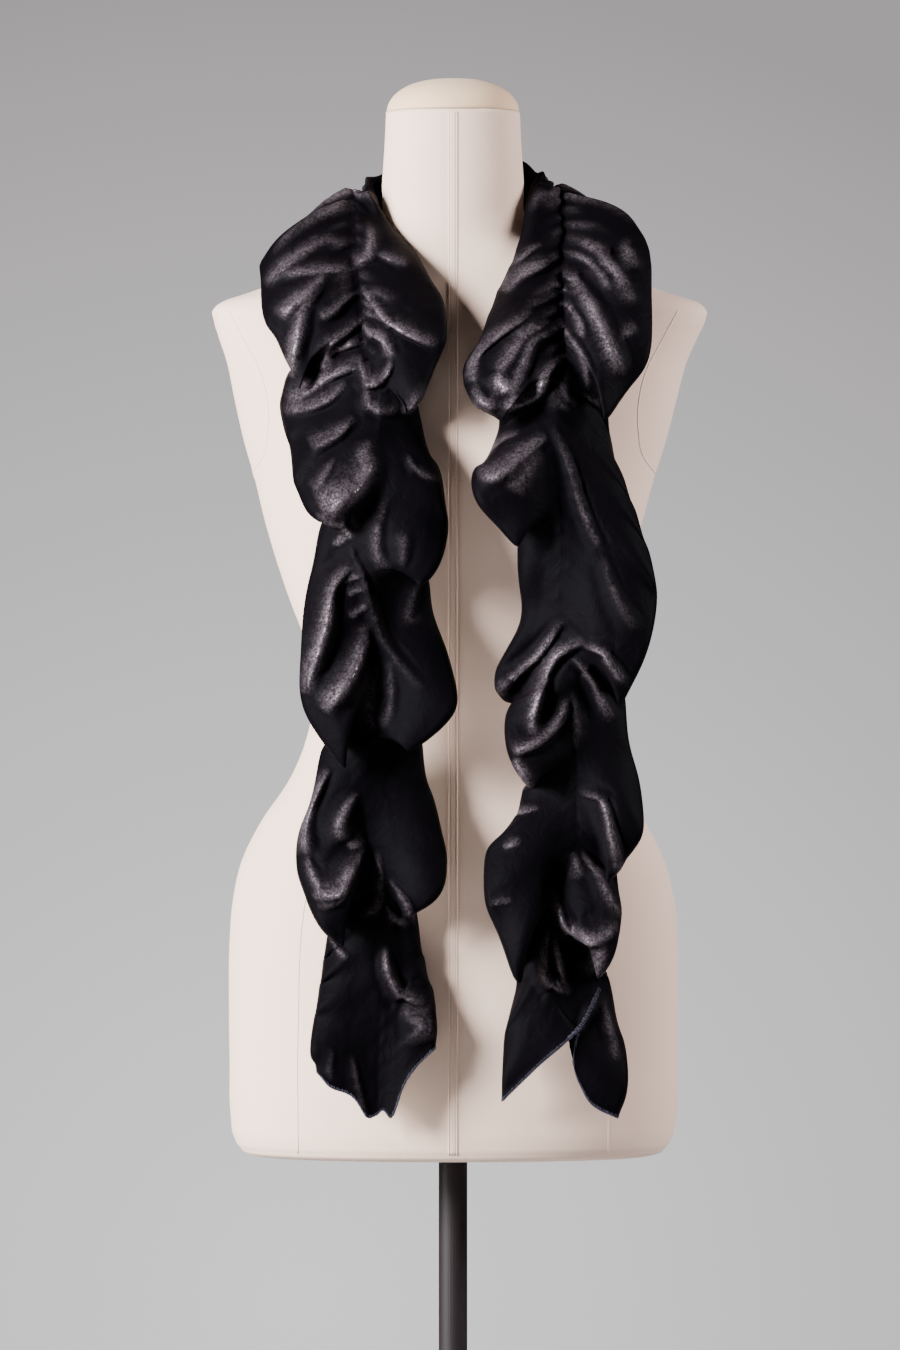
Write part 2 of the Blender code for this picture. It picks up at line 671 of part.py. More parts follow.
def build_pole():
    """Upright from the base's socket into the torso's."""
    top = FORM_BOTTOM + SOCKET_DEPTH - SLIDE_GAP
    rings = [circle(POLE_RADIUS, z, POLE_SEGMENTS) for z in (POLE_FOOT + SLIDE_GAP, top)]
    return loft("stand_pole", rings, STAND_BLACK, 0.4)


def build_base():
    """Round floor plate with a collar that holds the pole."""
    socket = POLE_RADIUS + SLIDE_GAP
    profile = (
        (BASE_RADIUS - BASE_EDGE * 0.3, 0.0),
        (BASE_RADIUS, BASE_EDGE * 0.3),
        (BASE_RADIUS, BASE_THICKNESS - BASE_EDGE),
        (BASE_RADIUS - BASE_EDGE * 0.3, BASE_THICKNESS - BASE_EDGE * 0.3),
        (BASE_RADIUS - BASE_EDGE, BASE_THICKNESS),
        (COLLAR_RADIUS + BASE_EDGE, BASE_THICKNESS),
        (COLLAR_RADIUS, BASE_THICKNESS + BASE_EDGE),
        (COLLAR_RADIUS, COLLAR_TOP - BASE_EDGE),
        (COLLAR_RADIUS - BASE_EDGE, COLLAR_TOP),
        (socket, COLLAR_TOP),
        (socket, POLE_FOOT),
    )
    rings = [circle(radius, z, STAND_SEGMENTS) for radius, z in profile]
    return loft("stand_base", rings, STAND_BLACK, 0.45)


def build_cloth(name, grid, normal):
    """Gives a grid of mid-wall points its wall and closes it round the edge."""
    front = (grid + normal * WALL / 2).reshape(-1, 3)
    back = (grid - normal * WALL / 2).reshape(-1, 3)
    rows, columns = grid.shape[:2]
    count = rows * columns
    faces = []
    for i in range(rows - 1):
        for j in range(columns - 1):
            a, b = i * columns + j, (i + 1) * columns + j
            for one, two, three in ((a, a + 1, b + 1), (a, b + 1, b)):
                faces.append((one, two, three))
                faces.append((one + count, three + count, two + count))
    rim = [i * columns for i in range(rows)]
    rim += [(rows - 1) * columns + j for j in range(1, columns)]
    rim += [i * columns + columns - 1 for i in range(rows - 2, -1, -1)]
    rim += [j for j in range(columns - 2, 0, -1)]
    for a, b in zip(rim, rim[1:] + rim[:1]):
        faces.append((a, b, b + count, a + count))
    return add_object(name, np.vstack([front, back]), faces, VELVET_BLACK, 0.6)


def build_scarf():
    """The three stretches of the scarf, cut from one strip with small gaps at the seams."""
    scarf = Scarf()
    half_gap = SEAM_GAP / 2
    stretches = (
        ("scarf_left_tail", -scarf.left_length, -LEFT_SEAM - half_gap, TAIL_SECTIONS),
        ("scarf_neck_stretch", -LEFT_SEAM + half_gap, RIGHT_SEAM - half_gap, NECK_SECTIONS),
        ("scarf_right_tail", RIGHT_SEAM + half_gap, scarf.right_length, TAIL_SECTIONS),
    )
    for name, start, end, count in stretches:
        build_cloth(name, *scarf.sheet(start, end, count, HALF_ROWS))


def main():
    for obj in list(bpy.data.objects):
        bpy.data.objects.remove(obj, do_unlink=True)
    build_base()
    build_pole()
    build_torso()
    build_cap()
    build_scarf()


main()
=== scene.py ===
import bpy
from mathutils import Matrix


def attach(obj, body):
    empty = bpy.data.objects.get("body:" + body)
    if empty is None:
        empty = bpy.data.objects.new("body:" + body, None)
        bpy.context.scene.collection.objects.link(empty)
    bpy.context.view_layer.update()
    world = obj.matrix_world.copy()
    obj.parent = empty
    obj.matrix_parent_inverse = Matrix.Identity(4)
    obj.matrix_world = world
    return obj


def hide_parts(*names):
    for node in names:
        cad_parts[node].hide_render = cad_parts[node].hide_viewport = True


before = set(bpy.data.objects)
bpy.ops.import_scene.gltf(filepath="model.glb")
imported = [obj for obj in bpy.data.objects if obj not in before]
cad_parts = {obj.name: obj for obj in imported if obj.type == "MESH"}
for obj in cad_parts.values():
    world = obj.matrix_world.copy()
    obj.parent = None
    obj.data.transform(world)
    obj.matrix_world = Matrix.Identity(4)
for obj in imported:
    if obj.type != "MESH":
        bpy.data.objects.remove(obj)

"""A gathered velvet scarf round the neck of a limbless dress form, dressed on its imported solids.

Tables and sizes of the cloth are millimetres, and meshes are metres.
X points to the viewer's right, the form faces -Y and +Z is up.
"""
import math
import random
from collections import namedtuple

import bmesh
import bpy
import numpy as np
from bpy.props import FloatProperty, FloatVectorProperty, PointerProperty
from mathutils import Vector
from mathutils.bvhtree import BVHTree

bl_info = {
    "name": "Velvet scarf on a dress form",
    "version": (1, 0, 0),
    "blender": (4, 5, 0),
    "location": "View3D > Sidebar > Velvet scarf",
    "description": "Makes a gathered velvet scarf, the dress form under it and their stand",
    "category": "Add Mesh",
}

MM = 0.001
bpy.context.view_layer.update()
BODY = "root"


def table(kind, *rows):
    """Rows of numbers as records of one kind."""
    return tuple(kind(*row) for row in rows)


# Dress form
NECK_CENTRE_Y = 5.0
CAP_SEAM = 1553.0
CAP_TOP = 1579.0
CAP_RADIUS = 51.0
BUST_REACH = 13.0
BUST_ACROSS = 76.0
BUST_HEIGHT = 1262.0
BUST_WIDTH = 44.0
BUST_DROP = 52.0
FORM_BOTTOM = 750.0
SOCKET_DEPTH = 70.0
POLE_RADIUS = 11.0
SLIDE_GAP = 0.3
SKIN_EDGE = 0.999
FORM_SEGMENTS = 160
FORM_LEVELS = (
    (750.0, 764.0, 12), (768.0, 1376.0, 160), (1378.0, 1470.0, 60), (1474.0, CAP_SEAM - SLIDE_GAP, 24),
)
CAP_SEGMENTS = 120
CAP_ROLL = ((1.2, 0.0), (0.2, 0.4), (0.0, 1.4))
CAP_ROUNDNESS = 0.8
CAP_ARC = (0.1, 0.985, 26)
CORD_RADIUS = 0.0006
CORD_OUT = 0.4
CORD_DROP = 0.2
CORD_POINTS = 159
CORD_COLOUR = (0.42, 0.30, 0.20)

# Seams of the cover: how far each stands out of it, and the section of a tape
SEAM_SPAN = (756.0, 1550.0, 300)
STRIP_RISE = 0.45
STRIP_EDGE_RISE = 0.6
STRIP_EDGE_WIDTH = 1.0
BACK_RISE = 0.5
PRINCESS_RISE = 0.4
ARM_RISE = 0.35
SEAM_SHADE = 0.97
PRINCESS_POINTS = 220
ARM_POINTS = 120
ARM_LOOP_POINTS = 260
TAPE_SECTION = ((-0.5, -0.35), (-0.42, 0.6), (-0.2, 1.0), (0.2, 1.0), (0.42, 0.6), (0.5, -0.35))

FormRing = namedtuple("FormRing", "height half_width front back shift squareness")
FORM_RINGS = table(
    FormRing,
    (750, 150, 90, 100, 0, 2.2), (751.5, 157, 96, 106, 0, 2.2), (756, 163.5, 101, 112, 0, 2.2),
    (764, 168.5, 104, 116, 0, 2.2), (780, 171.5, 106, 119, 0.5, 2.2), (823, 172.5, 107, 122, 0.5, 2.2),
    (869, 173, 107, 124, 0.5, 2.2), (915, 172.5, 106, 124, 0.5, 2.2), (946, 170, 104, 121, 0.5, 2.2),
    (977, 162.5, 101, 114, 0, 2.2), (1008, 147, 96, 104, 0, 2.2), (1039, 126, 90, 94, 0, 2.15),
    (1070, 113, 85, 86, 0, 2.1), (1105, 107.5, 83, 82, 0, 2.1), (1140, 112, 86, 84, 0, 2.1),
    (1177, 125.5, 91, 89, 0, 2.15), (1208, 136, 95, 95, 0, 2.2), (1239, 145.5, 98, 100, 0.5, 2.25),
    (1270, 153.5, 99, 104, 1, 2.3), (1300, 162.5, 98, 107, 1.5, 2.35), (1331, 170, 94, 108, 2, 2.4),
    (1362, 177.5, 86, 105, 3, 2.45), (1380, 184.5, 79, 100, 4, 2.5), (1392, 189, 74, 96, 5, 2.5),
    (1401, 189.5, 70, 92, 5, 2.5), (1407, 182, 67, 89, 5, 2.5), (1414, 160, 64, 85, 4, 2.5),
    (1423, 136, 60, 80, 3, 2.4), (1434, 107, 57, 74, 2, 2.3), (1445, 80, 54, 68, 1, 2.2),
    (1455, 63, 52, 64, 0, 2.1), (1466, 57, 51, 61, 0, 2), (1500, 54.5, 49, 59, 0, 2),
    (1530, 52.5, 47.5, 57.5, 0, 2), (1552.7, 51.5, 46.5, 56.5, 0, 2),
)

# Gathering thread
ThreadPoint = namedtuple("ThreadPoint", "across back height")
LEFT_THREAD = table(
    ThreadPoint,
    (0, 78, 1480), (-38, 69, 1482), (-63, 42, 1484), (-69, 6, 1482), (-71, -32, 1462), (-71, -60, 1432),
    (-69, -80, 1404), (-67, -98, 1370), (-60, -113, 1343), (-57, -126, 1312), (-63, -134, 1266),
    (-71, -135, 1214), (-65, -133, 1165), (-60, -131, 1101), (-68, -129, 1030), (-66, -128, 999),
    (-52, -127, 961), (-51, -126, 916), (-55, -124, 852), (-57, -122, 788),
)
RIGHT_THREAD = table(
    ThreadPoint,
    (0, 78, 1480), (38, 70, 1483), (64, 44, 1487), (74, 8, 1486), (79, -24, 1465), (79, -55, 1433),
    (82, -78, 1403), (84, -100, 1366), (79, -120, 1327), (79, -131, 1290), (83, -134, 1229),
    (82, -133, 1176), (87, -132, 1140), (88, -131, 1085), (94, -129, 1031), (94, -128, 998),
    (80, -127, 955), (76, -127, 920), (74, -126, 880), (72, -125, 840),
)

# Hems
Flute = namedtuple("Flute", "root bearing radius height")
LEFT_OUTER_FLUTES = table(
    Flute,
    (0, 0, 98, 1398), (26, 20, 114, 1404), (50, 40, 104, 1404), (74, 60, 130, 1411),
    (102, 80, 138, 1421),
)
RIGHT_OUTER_FLUTES = table(
    Flute,
    (0, 0, 98, 1398), (27, 22, 115, 1402), (50, 41, 105, 1405), (73, 59, 128, 1416),
    (98, 77, 131, 1440),
)
LEFT_INNER_FLUTES = table(
    Flute,
    (0, 0, 64, 1528), (24, 20, 79, 1524), (46, 40, 62, 1524), (68, 56, 66, 1504), (88, 80, 60, 1489),
    (112, 108, 59, 1481),
)
RIGHT_INNER_FLUTES = table(
    Flute,
    (0, 0, 64, 1528), (26, 19, 78, 1526), (48, 38, 63, 1524), (70, 55, 70, 1508), (92, 78, 64, 1499),
    (114, 104, 60, 1492),
)

Lobe = namedtuple(
    "Lobe",
    "root top_x top_z wide_x wide_z low_x low_z foot_x foot_z top_forward foot_forward bow",
    defaults=(0.10,),
)
LEFT_OUTER_LOBES = table(
    Lobe,
    (140, -147, 1426, -146, 1404, -134, 1373, -114, 1338, 25, 101),
    (285, -131, 1328, -123, 1292, -111, 1245, -81, 1227, 80, 150),
    (425, -103, 1216, -114, 1146, -110, 1087, -80, 1050, 118, 158),
    (575, -103, 1042, -118, 988, -109, 947, -82, 913, 118, 155),
    (705, -97, 906, -103, 867, -108, 833, -107, 815, 118, 136, 0.04),
)
LEFT_INNER_LOBES = table(
    Lobe,
    (135, -51, 1469, -18, 1425, -6, 1369, -36, 1315, 27, 138),
    (345, -25, 1308, -8, 1264, -9, 1206, -26, 1183, 114, 152),
    (490, -17, 1172, -2, 1127, 3, 1097, -35, 1060, 118, 156),
    (615, -22, 1050, -9, 1003, -5, 966, -37, 934, 118, 152),
    (735, -24, 910, -15, 878, -12, 852, -14, 837, 118, 134, 0.04),
)
RIGHT_OUTER_LOBES = table(
    Lobe,
    (125, 135, 1460, 148, 1434, 140, 1345, 113, 1312, 5, 132),
    (300, 118, 1300, 135, 1249, 153, 1170, 124, 1095, 102, 152),
    (560, 131, 1078, 142, 1027, 141, 997, 115, 964, 118, 152),
    (665, 125, 953, 126, 937, 121, 909, 108, 888, 122, 152),
    (735, 121, 870, 129, 840, 132, 812, 124, 784, 108, 122, -0.08),
)
RIGHT_INNER_LOBES = table(
    Lobe,
    (142, 53, 1465, 35, 1409, 11, 1332, 38, 1309, 29, 138),
    (330, 35, 1300, 23, 1283, 13, 1264, 50, 1217, 108, 150),
    (440, 49, 1206, 52, 1158, 31, 1111, 44, 1097, 122, 110),
    (545, 42, 1096, 39, 1074, 45, 1052, 60, 1031, 138, 154),
    (620, 52, 1021, 26, 988, 25, 950, 52, 889, 116, 150),
    (725, 48, 878, 41, 859, 38, 829, 37, 797, 115, 130, 0.02),
)

# Creases round the neck: place on the thread, slant down, height, width and reach
Crease = namedtuple("Crease", "root slant height width reach")
LEFT_OUTER_CREASES = table(
    Crease,
    (20, 30, 8, 12, 1), (60, 10, 6, 11, 1), (98, 8, 6, 11, 1), (136, 14, 5, 11, 0.8),
)
LEFT_INNER_CREASES = table(
    Crease,
    (30, 4, 5, 10, 1), (75, 6, 5, 10, 1), (118, 6, 5, 10, 1),
)
RIGHT_OUTER_CREASES = table(
    Crease,
    (42, 6, 6, 11, 1), (92, 8, 6, 11, 1), (126, 18, 5, 11, 0.9),
)
RIGHT_INNER_CREASES = table(
    Crease,
    (32, 4, 5, 10, 1), (80, 6, 5, 10, 1), (126, 6, 5, 10, 1),
)

# Long soft folds of the tails: four places along each, seen from the front, its size, and the strength of
# the sheen painted along its crest
Fold = namedtuple("Fold", "x1 z1 x2 z2 x3 z3 x4 z4 height width shine")
LEFT_FOLDS = table(
    Fold,
    (-78, 1448, -96, 1451, -122, 1434, -144, 1417, 8, 8, 0.8),
    (-74, 1428, -94, 1428, -114, 1426, -129, 1423, 6, 6, 0.6),
    (-95, 1425, -106, 1413, -119, 1403, -131, 1389, 9, 6, 1.0),
    (-99, 1419, -111, 1399, -116, 1376, -123, 1344, 9, 7, 0.8),
    (-73, 1410, -82, 1405, -91, 1395, -100, 1389, 6, 5, 0.5),
    (-67, 1392, -78, 1382, -93, 1371, -99, 1351, 7, 5, 0.6),
    (-65, 1372, -82, 1369, -93, 1363, -93, 1350, 6, 5, 0.6),
    (-70, 1353, -88, 1349, -108, 1338, -126, 1326, 9, 7, 0.7),
    (-81, 1341, -93, 1330, -112, 1323, -128, 1320, 7, 7, 0.6),
    (-74, 1314, -88, 1301, -99, 1296, -108, 1292, 7, 7, 0.5),
    (-67, 1297, -64, 1274, -76, 1258, -100, 1244, 8, 14, 0.9),
    (-72, 1267, -79, 1256, -87, 1246, -99, 1241, 5, 12, 0.8),
    (-89, 1282, -94, 1274, -100, 1265, -106, 1259, 4, 5, 0.3),
    (-102, 1242, -94, 1235, -82, 1231, -75, 1222, 4, 3.5, 0.6),
    (-91, 1218, -87, 1219, -83, 1222, -81, 1225, 3, 5, 0.5),
    (-75, 1202, -85, 1194, -95, 1157, -111, 1105, 12, 7, 1.0),
    (-69, 1194, -74, 1193, -78, 1191, -82, 1188, 1.8, 3, 0.45),
    (-66, 1184, -69, 1184, -74, 1182, -78, 1179, 1.8, 3, 0.45),
    (-63, 1173, -69, 1169, -73, 1166, -78, 1163, 2, 3.5, 0.5),
    (-65, 1158, -69, 1138, -80, 1114, -97, 1092, 12, 8, 1.0),
    (-78, 1218, -66, 1191, -51, 1146, -21, 1108, 5, 4, 0.12),
    (-49, 1254, -56, 1231, -54, 1206, -46, 1197, 3, 6, 0.22),
    (-39, 1201, -36, 1210, -36, 1218, -38, 1229, 3, 6, 0.18),
    (-24, 1191, -30, 1176, -31, 1161, -22, 1160, 3, 5, 0.2),
    (-57, 1129, -60, 1112, -62, 1093, -59, 1077, 3, 7, 0.25),
    (-47, 1131, -46, 1108, -49, 1089, -54, 1079, 3, 6, 0.2),
    (-34, 1286, -29, 1277, -22, 1271, -11, 1266, 4, 3.5, 0.3),
    (-69, 1416, -61, 1406, -48, 1389, -12, 1368, 9, 4.5, 0.9),
    (-69, 1388, -61, 1380, -48, 1369, -46, 1359, 8, 4.5, 0.9),
    (-70, 1363, -66, 1348, -64, 1342, -51, 1345, 6, 4, 0.6),
    (-46, 1359, -48, 1350, -57, 1341, -69, 1336, 6, 4, 0.6),
    (-63, 1338, -63, 1326, -57, 1320, -40, 1320, 6, 5, 0.6),
    (-66, 1468, -60, 1454, -61, 1442, -76, 1431, 8, 6, 0.9),
    (-58, 1440, -48, 1437, -40, 1434, -34, 1431, 4, 5, 0.5),
    (-40, 1318, -32, 1320, -28, 1326, -17, 1333, 4, 6, 0.4),
    (-93, 1050, -103, 1031, -111, 1006, -109, 984, 9, 6, 0.8),
    (-109, 984, -106, 974, -102, 966, -97, 960, 5, 5, 0.5),
    (-73, 1031, -80, 1019, -84, 1004, -80, 995, 7, 5, 0.8),
    (-80, 994, -76, 992, -70, 993, -66, 994, 4, 5, 0.6),
    (-66, 993, -76, 975, -84, 960, -106, 955, 12, 6.5, 1.0),
    (-78, 965, -85, 951, -94, 947, -102, 947, 5, 4, 0.5),
    (-57, 987, -54, 967, -57, 946, -70, 937, 4, 5, 0.3),
    (-93, 923, -88, 917, -84, 911, -79, 906, 3, 3, 0.4),
    (-48, 967, -40, 957, -33, 946, -29, 932, 4, 3, 0.35),
    (-50, 947, -45, 939, -40, 934, -33, 932, 4, 3.5, 0.4),
    (-51, 916, -47, 895, -38, 881, -20, 873, 8, 4.5, 0.7),
    (-40, 867, -31, 863, -23, 859, -17, 844, 4, 14, 0.25),
    (-91, 840, -91, 833, -92, 824, -92, 815, 1.5, 4, 0.15),
    (-76, 834, -73, 820, -69, 805, -64, 789, 2, 4, 0.2),
)
RIGHT_FOLDS = table(
    Fold,
    (75, 1459, 100, 1448, 120, 1431, 138, 1401, 8, 7, 0.6),
    (126, 1447, 132, 1443, 135, 1436, 137, 1428, 4, 9, 0.5),
    (82, 1443, 98, 1437, 111, 1426, 119, 1412, 5, 4, 0.5),
    (77, 1429, 91, 1421, 111, 1389, 128, 1345, 11, 8, 0.75),
    (75, 1418, 80, 1416, 84, 1414, 87, 1411, 4, 3, 0.5),
    (80, 1403, 89, 1399, 96, 1388, 98, 1374, 7, 4, 0.8),
    (78, 1391, 90, 1374, 100, 1356, 103, 1333, 6, 4, 0.5),
    (125, 1373, 131, 1377, 135, 1381, 139, 1384, 3, 5, 0.4),
    (68, 1448, 58, 1443, 50, 1437, 42, 1431, 6, 4, 0.6),
    (74, 1435, 60, 1429, 46, 1421, 37, 1410, 7, 8, 0.7),
    (60, 1395, 35, 1379, 16, 1359, 16, 1339, 9, 6, 0.8),
    (16, 1339, 20, 1332, 27, 1325, 38, 1321, 7, 6, 0.7),
    (74, 1388, 54, 1378, 43, 1360, 35, 1346, 8, 6, 0.8),
    (35, 1348, 37, 1342, 40, 1338, 43, 1334, 5, 10, 0.9),
    (78, 1380, 61, 1373, 54, 1354, 44, 1329, 8, 5, 0.7),
    (86, 1363, 72, 1351, 66, 1336, 37, 1320, 9, 6, 0.9),
    (10, 1327, 17, 1324, 25, 1321, 32, 1318, 4, 6, 0.45),
    (81, 1350, 85, 1342, 87, 1331, 85, 1318, 4, 14, 0.22),
    (97, 1333, 102, 1330, 107, 1326, 112, 1323, 3, 3, 0.3),
    (71, 1300, 51, 1286, 35, 1272, 18, 1268, 9, 8, 0.85),
    (51, 1302, 39, 1298, 28, 1289, 20, 1276, 5, 4, 0.5),
    (66, 1289, 58, 1278, 51, 1267, 45, 1256, 4, 14, 0.35),
    (75, 1308, 87, 1282, 100, 1241, 113, 1212, 6, 3.5, 0.3),
    (113, 1212, 120, 1188, 129, 1169, 140, 1151, 4, 5, 0.15),
    (83, 1161, 69, 1141, 47, 1119, 28, 1107, 8, 3.5, 0.8),
    (45, 1117, 41, 1113, 38, 1109, 34, 1106, 4, 7, 0.8),
    (100, 1146, 78, 1135, 66, 1108, 59, 1074, 10, 6, 0.95),
    (97, 1142, 112, 1137, 122, 1125, 131, 1112, 6, 4, 0.55),
    (89, 1133, 105, 1118, 113, 1101, 121, 1085, 6, 4.5, 0.5),
    (87, 1103, 81, 1087, 66, 1072, 45, 1061, 9, 5, 0.95),
    (48, 1058, 51, 1051, 55, 1043, 58, 1034, 4, 8, 0.75),
    (92, 1108, 94, 1093, 94, 1078, 92, 1064, 3, 6, 0.2),
    (66, 1019, 57, 1018, 45, 1015, 35, 1007, 5, 3.5, 0.6),
    (38, 990, 41, 991, 46, 993, 51, 994, 3, 4, 0.5),
    (28, 948, 33, 949, 39, 950, 45, 950, 2.5, 3, 0.4),
    (94, 1031, 111, 1027, 119, 1003, 127, 966, 7, 4, 0.6),
    (96, 987, 108, 974, 117, 956, 127, 937, 6, 5, 0.5),
    (90, 987, 93, 980, 95, 974, 97, 966, 3, 6, 0.3),
    (77, 956, 86, 932, 103, 921, 125, 932, 10, 5.5, 1.0),
    (111, 920, 112, 912, 111, 904, 109, 893, 4, 9, 0.55),
    (73, 932, 69, 912, 72, 892, 89, 880, 8, 4.5, 0.85),
    (76, 927, 80, 908, 83, 895, 87, 883, 5, 3.5, 0.7),
    (113, 876, 118, 859, 122, 843, 124, 827, 4, 4, 0.4),
)

# Raw ends: how the last rib is shaped over its shares, and the lapped edge of the right end
EndShift = namedtuple("EndShift", "share across up forward")
END_SHIFTS = {
    ("left", "outer"): table(
        EndShift, (0, 0, 0, 0), (0.16, 0, -7, 0), (0.34, 0, 0, 0), (0.75, 0, 0, 0), (1, 5, 4, 0),
    ),
    ("left", "inner"): table(
        EndShift, (0, 0, 0, 0), (0.12, 0, -3, 0), (0.28, 0, -17, 0), (0.5, 0, -5, 0), (1, 0, 0, 0),
    ),
    ("right", "outer"): table(
        EndShift, (0, 23, 12, 0), (0.25, 9, 4, 0), (0.5, 3, 0, 0), (0.75, -2, -1, 0), (1, 0, 0, 0),
    ),
    ("right", "inner"): table(
        EndShift, (0, 23, 12, 0), (0.2, 19, 10, 6), (0.5, 12, 7, 5), (0.8, 4, 2, 2), (1, 0, 0, 0),
    ),
}
END_REACH = 55.0
LAP = Fold(88, 846, 97, 855, 104, 867, 111, 882, 5, 3, 0.15)
LAP_STOPS = 40

# Wall of the cloth, its seat on the form and its two seams
WALL = 1.3
SEAT_CLEARANCE = 0.6
PROBE_STEP = 0.5
REST_ROUNDS = 4
REST_PUSH = 12.0
LEFT_SEAM = 122.0
RIGHT_SEAM = 118.0
SEAM_GAP = 0.3

# Swell of the ribs between thread and hem, and the turns of the hem
FLUTE_BELLY = 9.0
BELLY = 10.0
BELLY_SHARE = 0.25
BELLY_LEAST = 3.0
BELLY_MOST = 18.0
BELLY_OF_RIB = 0.2
SWELL_START = 0.8
SWELL_END = 1.5
SWELL_SCALE = 3.65
FLUTE_BOW = 0.10
FOLD_SETBACK = 2.0
FOLD_INSET = 12.0
FRONT_FOLD_LIFT = 0.3
FOLD_LIFT = 0.18
FOLD_LIFT_LEAST = 8.0
FOLD_LIFT_MOST = 20.0
FOLD_AWAY = 0.3
FOLD_BACK = 0.15
LOBE_SHARES = (0.0, 0.42, 0.88, 1.0)
HEM_STEP = 4.0
HEM_SOFTNESS = 11.0

# The middle that the cloth faces away from, and where it turns to the front
CORE_SHARE = 0.6
CORE_HEIGHT = 1428.0
FLAT_BELOW = 1370.0
ROUND_ABOVE = 1450.0

# Small tucks at the thread
PUCKER_SPACING = 13.0
PUCKER_HEIGHT = 4.4
PUCKER_REACH = 0.48
PUCKER_SLANT = 16.0
PUCKER_WIDENING = 2.2
PUCKER_FADE = 0.8
PUCKER_START = (2.0, 8.0)
PUCKER_END = 4.0
PUCKER_HEIGHTS = (0.55, 1.35)
PUCKER_WIDTHS = (0.26, 0.38)
PUCKER_REACHES = (0.5, 1.7)
PUCKER_SPACINGS = (0.72, 1.4)

# Plump hem, and the filled valley beside the thread
ROLL = 5.0
ROLL_START = 0.35
ROLL_FULL = 0.85
THREAD_FILL = 8.0
THREAD_FILL_REACH = 20.0
FILL_FROM = 270.0
FILL_BY = 340.0
UPPER_FILL = 0.88
UPPER_FILL_FROM = 45.0
UPPER_FILL_REACH = 60.0

# Section of a long fold, and the sheen painted on its crest: a lighter colour and metal painted along the
# crests of folds and puckers
FOLD_LEAN = 0.4
FOLD_SHARPNESS = 1.2
FOLD_STOPS = 13
FOLD_START_WIDTH = 0.6
FOLD_WIDENING = 0.6
FRONT_FROM = 40.0
FRONT_REACH = 30.0
TROUGH_SHARE = 0.26
TROUGH_AT = 2.1
TROUGH_WIDTH = 0.8
PUCKER_PAINTED_SHEEN = 0.018
PUCKER_SHEEN_FROM = 1.4
PUCKER_SHEEN_SPAN = 7.0
PAINTED_SHEEN_CORE = 0.9
PAINTED_SHEEN_NARROWING = 1.75
# A fold is broad on its side towards the upper left, where the key light falls, and steep on its shaded
# side; its painted sheen spreads the same way, wide on the lit side.
UPPER_LEFT = np.array([-0.75, 0.66])
GENTLE_SIDE = 1.3
STEEP_SIDE = 0.65

# Creases round the neck, and the slow wave of the hem
CREASE_RISE = 0.1
CREASE_START_WIDTH = 0.5
CREASE_WIDENING = 0.8
CREASE_OVERRUN = 0.2
CREASE_END = 0.45
CREST_SHARPNESS = 1.6
LEAN = 0.7
THREAD_STEP = 2.0
WAVE_HEIGHT = 3.0
WAVE_LENGTH = 38.0
WAVE_WANDER = 0.6
WANDER_LENGTH = 53.0

# Mesh of the cloth, and slack of a stitch round its edge
HALF_COLUMNS = 32
COLUMN_CROWDING = 0.9
SECTION_STEP = 2.3
FINE_PLACES = 3000
THREAD_WEIGHT = 1.3
HEM_WEIGHT = 0.5
LOOP_SLACK = 0.0003

SIGNS = {"left": -1, "right": 1}
HALVES = {
    ("left", "outer"): (LEFT_OUTER_FLUTES, LEFT_OUTER_LOBES, LEFT_OUTER_CREASES, 11),
    ("left", "inner"): (LEFT_INNER_FLUTES, LEFT_INNER_LOBES, LEFT_INNER_CREASES, 23),
    ("right", "outer"): (RIGHT_OUTER_FLUTES, RIGHT_OUTER_LOBES, RIGHT_OUTER_CREASES, 37),
    ("right", "inner"): (RIGHT_INNER_FLUTES, RIGHT_INNER_LOBES, RIGHT_INNER_CREASES, 41),
}


class Curve:
    """Smooth curve through rows of numbers at rising parameter values."""

    def __init__(self, params, rows):
        self.t = np.asarray(params, float)
        self.p = np.asarray(rows, float)
        slope = np.diff(self.p, axis=0) / np.diff(self.t)[:, None]
        step = np.diff(self.t)
        inner = (slope[:-1] * step[1:, None] + slope[1:] * step[:-1, None])
        inner /= (step[1:] + step[:-1])[:, None]
        self.m = np.vstack([slope[:1], inner, slope[-1:]])

    def __call__(self, at):
        at = np.clip(np.atleast_1d(np.asarray(at, float)), self.t[0], self.t[-1])
        i = np.clip(np.searchsorted(self.t, at, side="right") - 1, 0, len(self.t) - 2)
        h = (self.t[i + 1] - self.t[i])[:, None]
        u = (at - self.t[i])[:, None] / h
        return (
            (2 * u**3 - 3 * u**2 + 1) * self.p[i]
            + (u**3 - 2 * u**2 + u) * h * self.m[i]
            + (3 * u**2 - 2 * u**3) * self.p[i + 1]
            + (u**3 - u**2) * h * self.m[i + 1]
        )


def softened(curve):
    """The same curve with its turns rounded to a radius that the wall can follow."""
    count = int(curve.t[-1] / HEM_STEP) + 1
    along = np.linspace(curve.t[0], curve.t[-1], count)
    points = curve(along)
    gap = along[:, None] - along[None, :]
    weight = np.exp(-(gap / HEM_SOFTNESS) ** 2)
    for end in (0, -1):
        weight[end] = 0.0
        weight[end, end] = 1.0
    weight /= weight.sum(axis=1, keepdims=True)
    return Curve(along, weight @ points)


def chord_lengths(points):
    """Distance along a row of points, starting at zero."""
    steps = np.linalg.norm(np.diff(np.asarray(points, float), axis=0), axis=1)
    return np.concatenate([[0.0], np.cumsum(steps)])


def unit(vectors):
    """Vectors scaled to length one."""
    return vectors / np.maximum(np.linalg.norm(vectors, axis=-1, keepdims=True), 1e-9)


def clamped(values):
    """Values kept between zero and one."""
    return np.clip(values, 0.0, 1.0)


def eased(values):
    """Values between zero and one, with a level start and end."""
    return values * values * (3 - 2 * values)


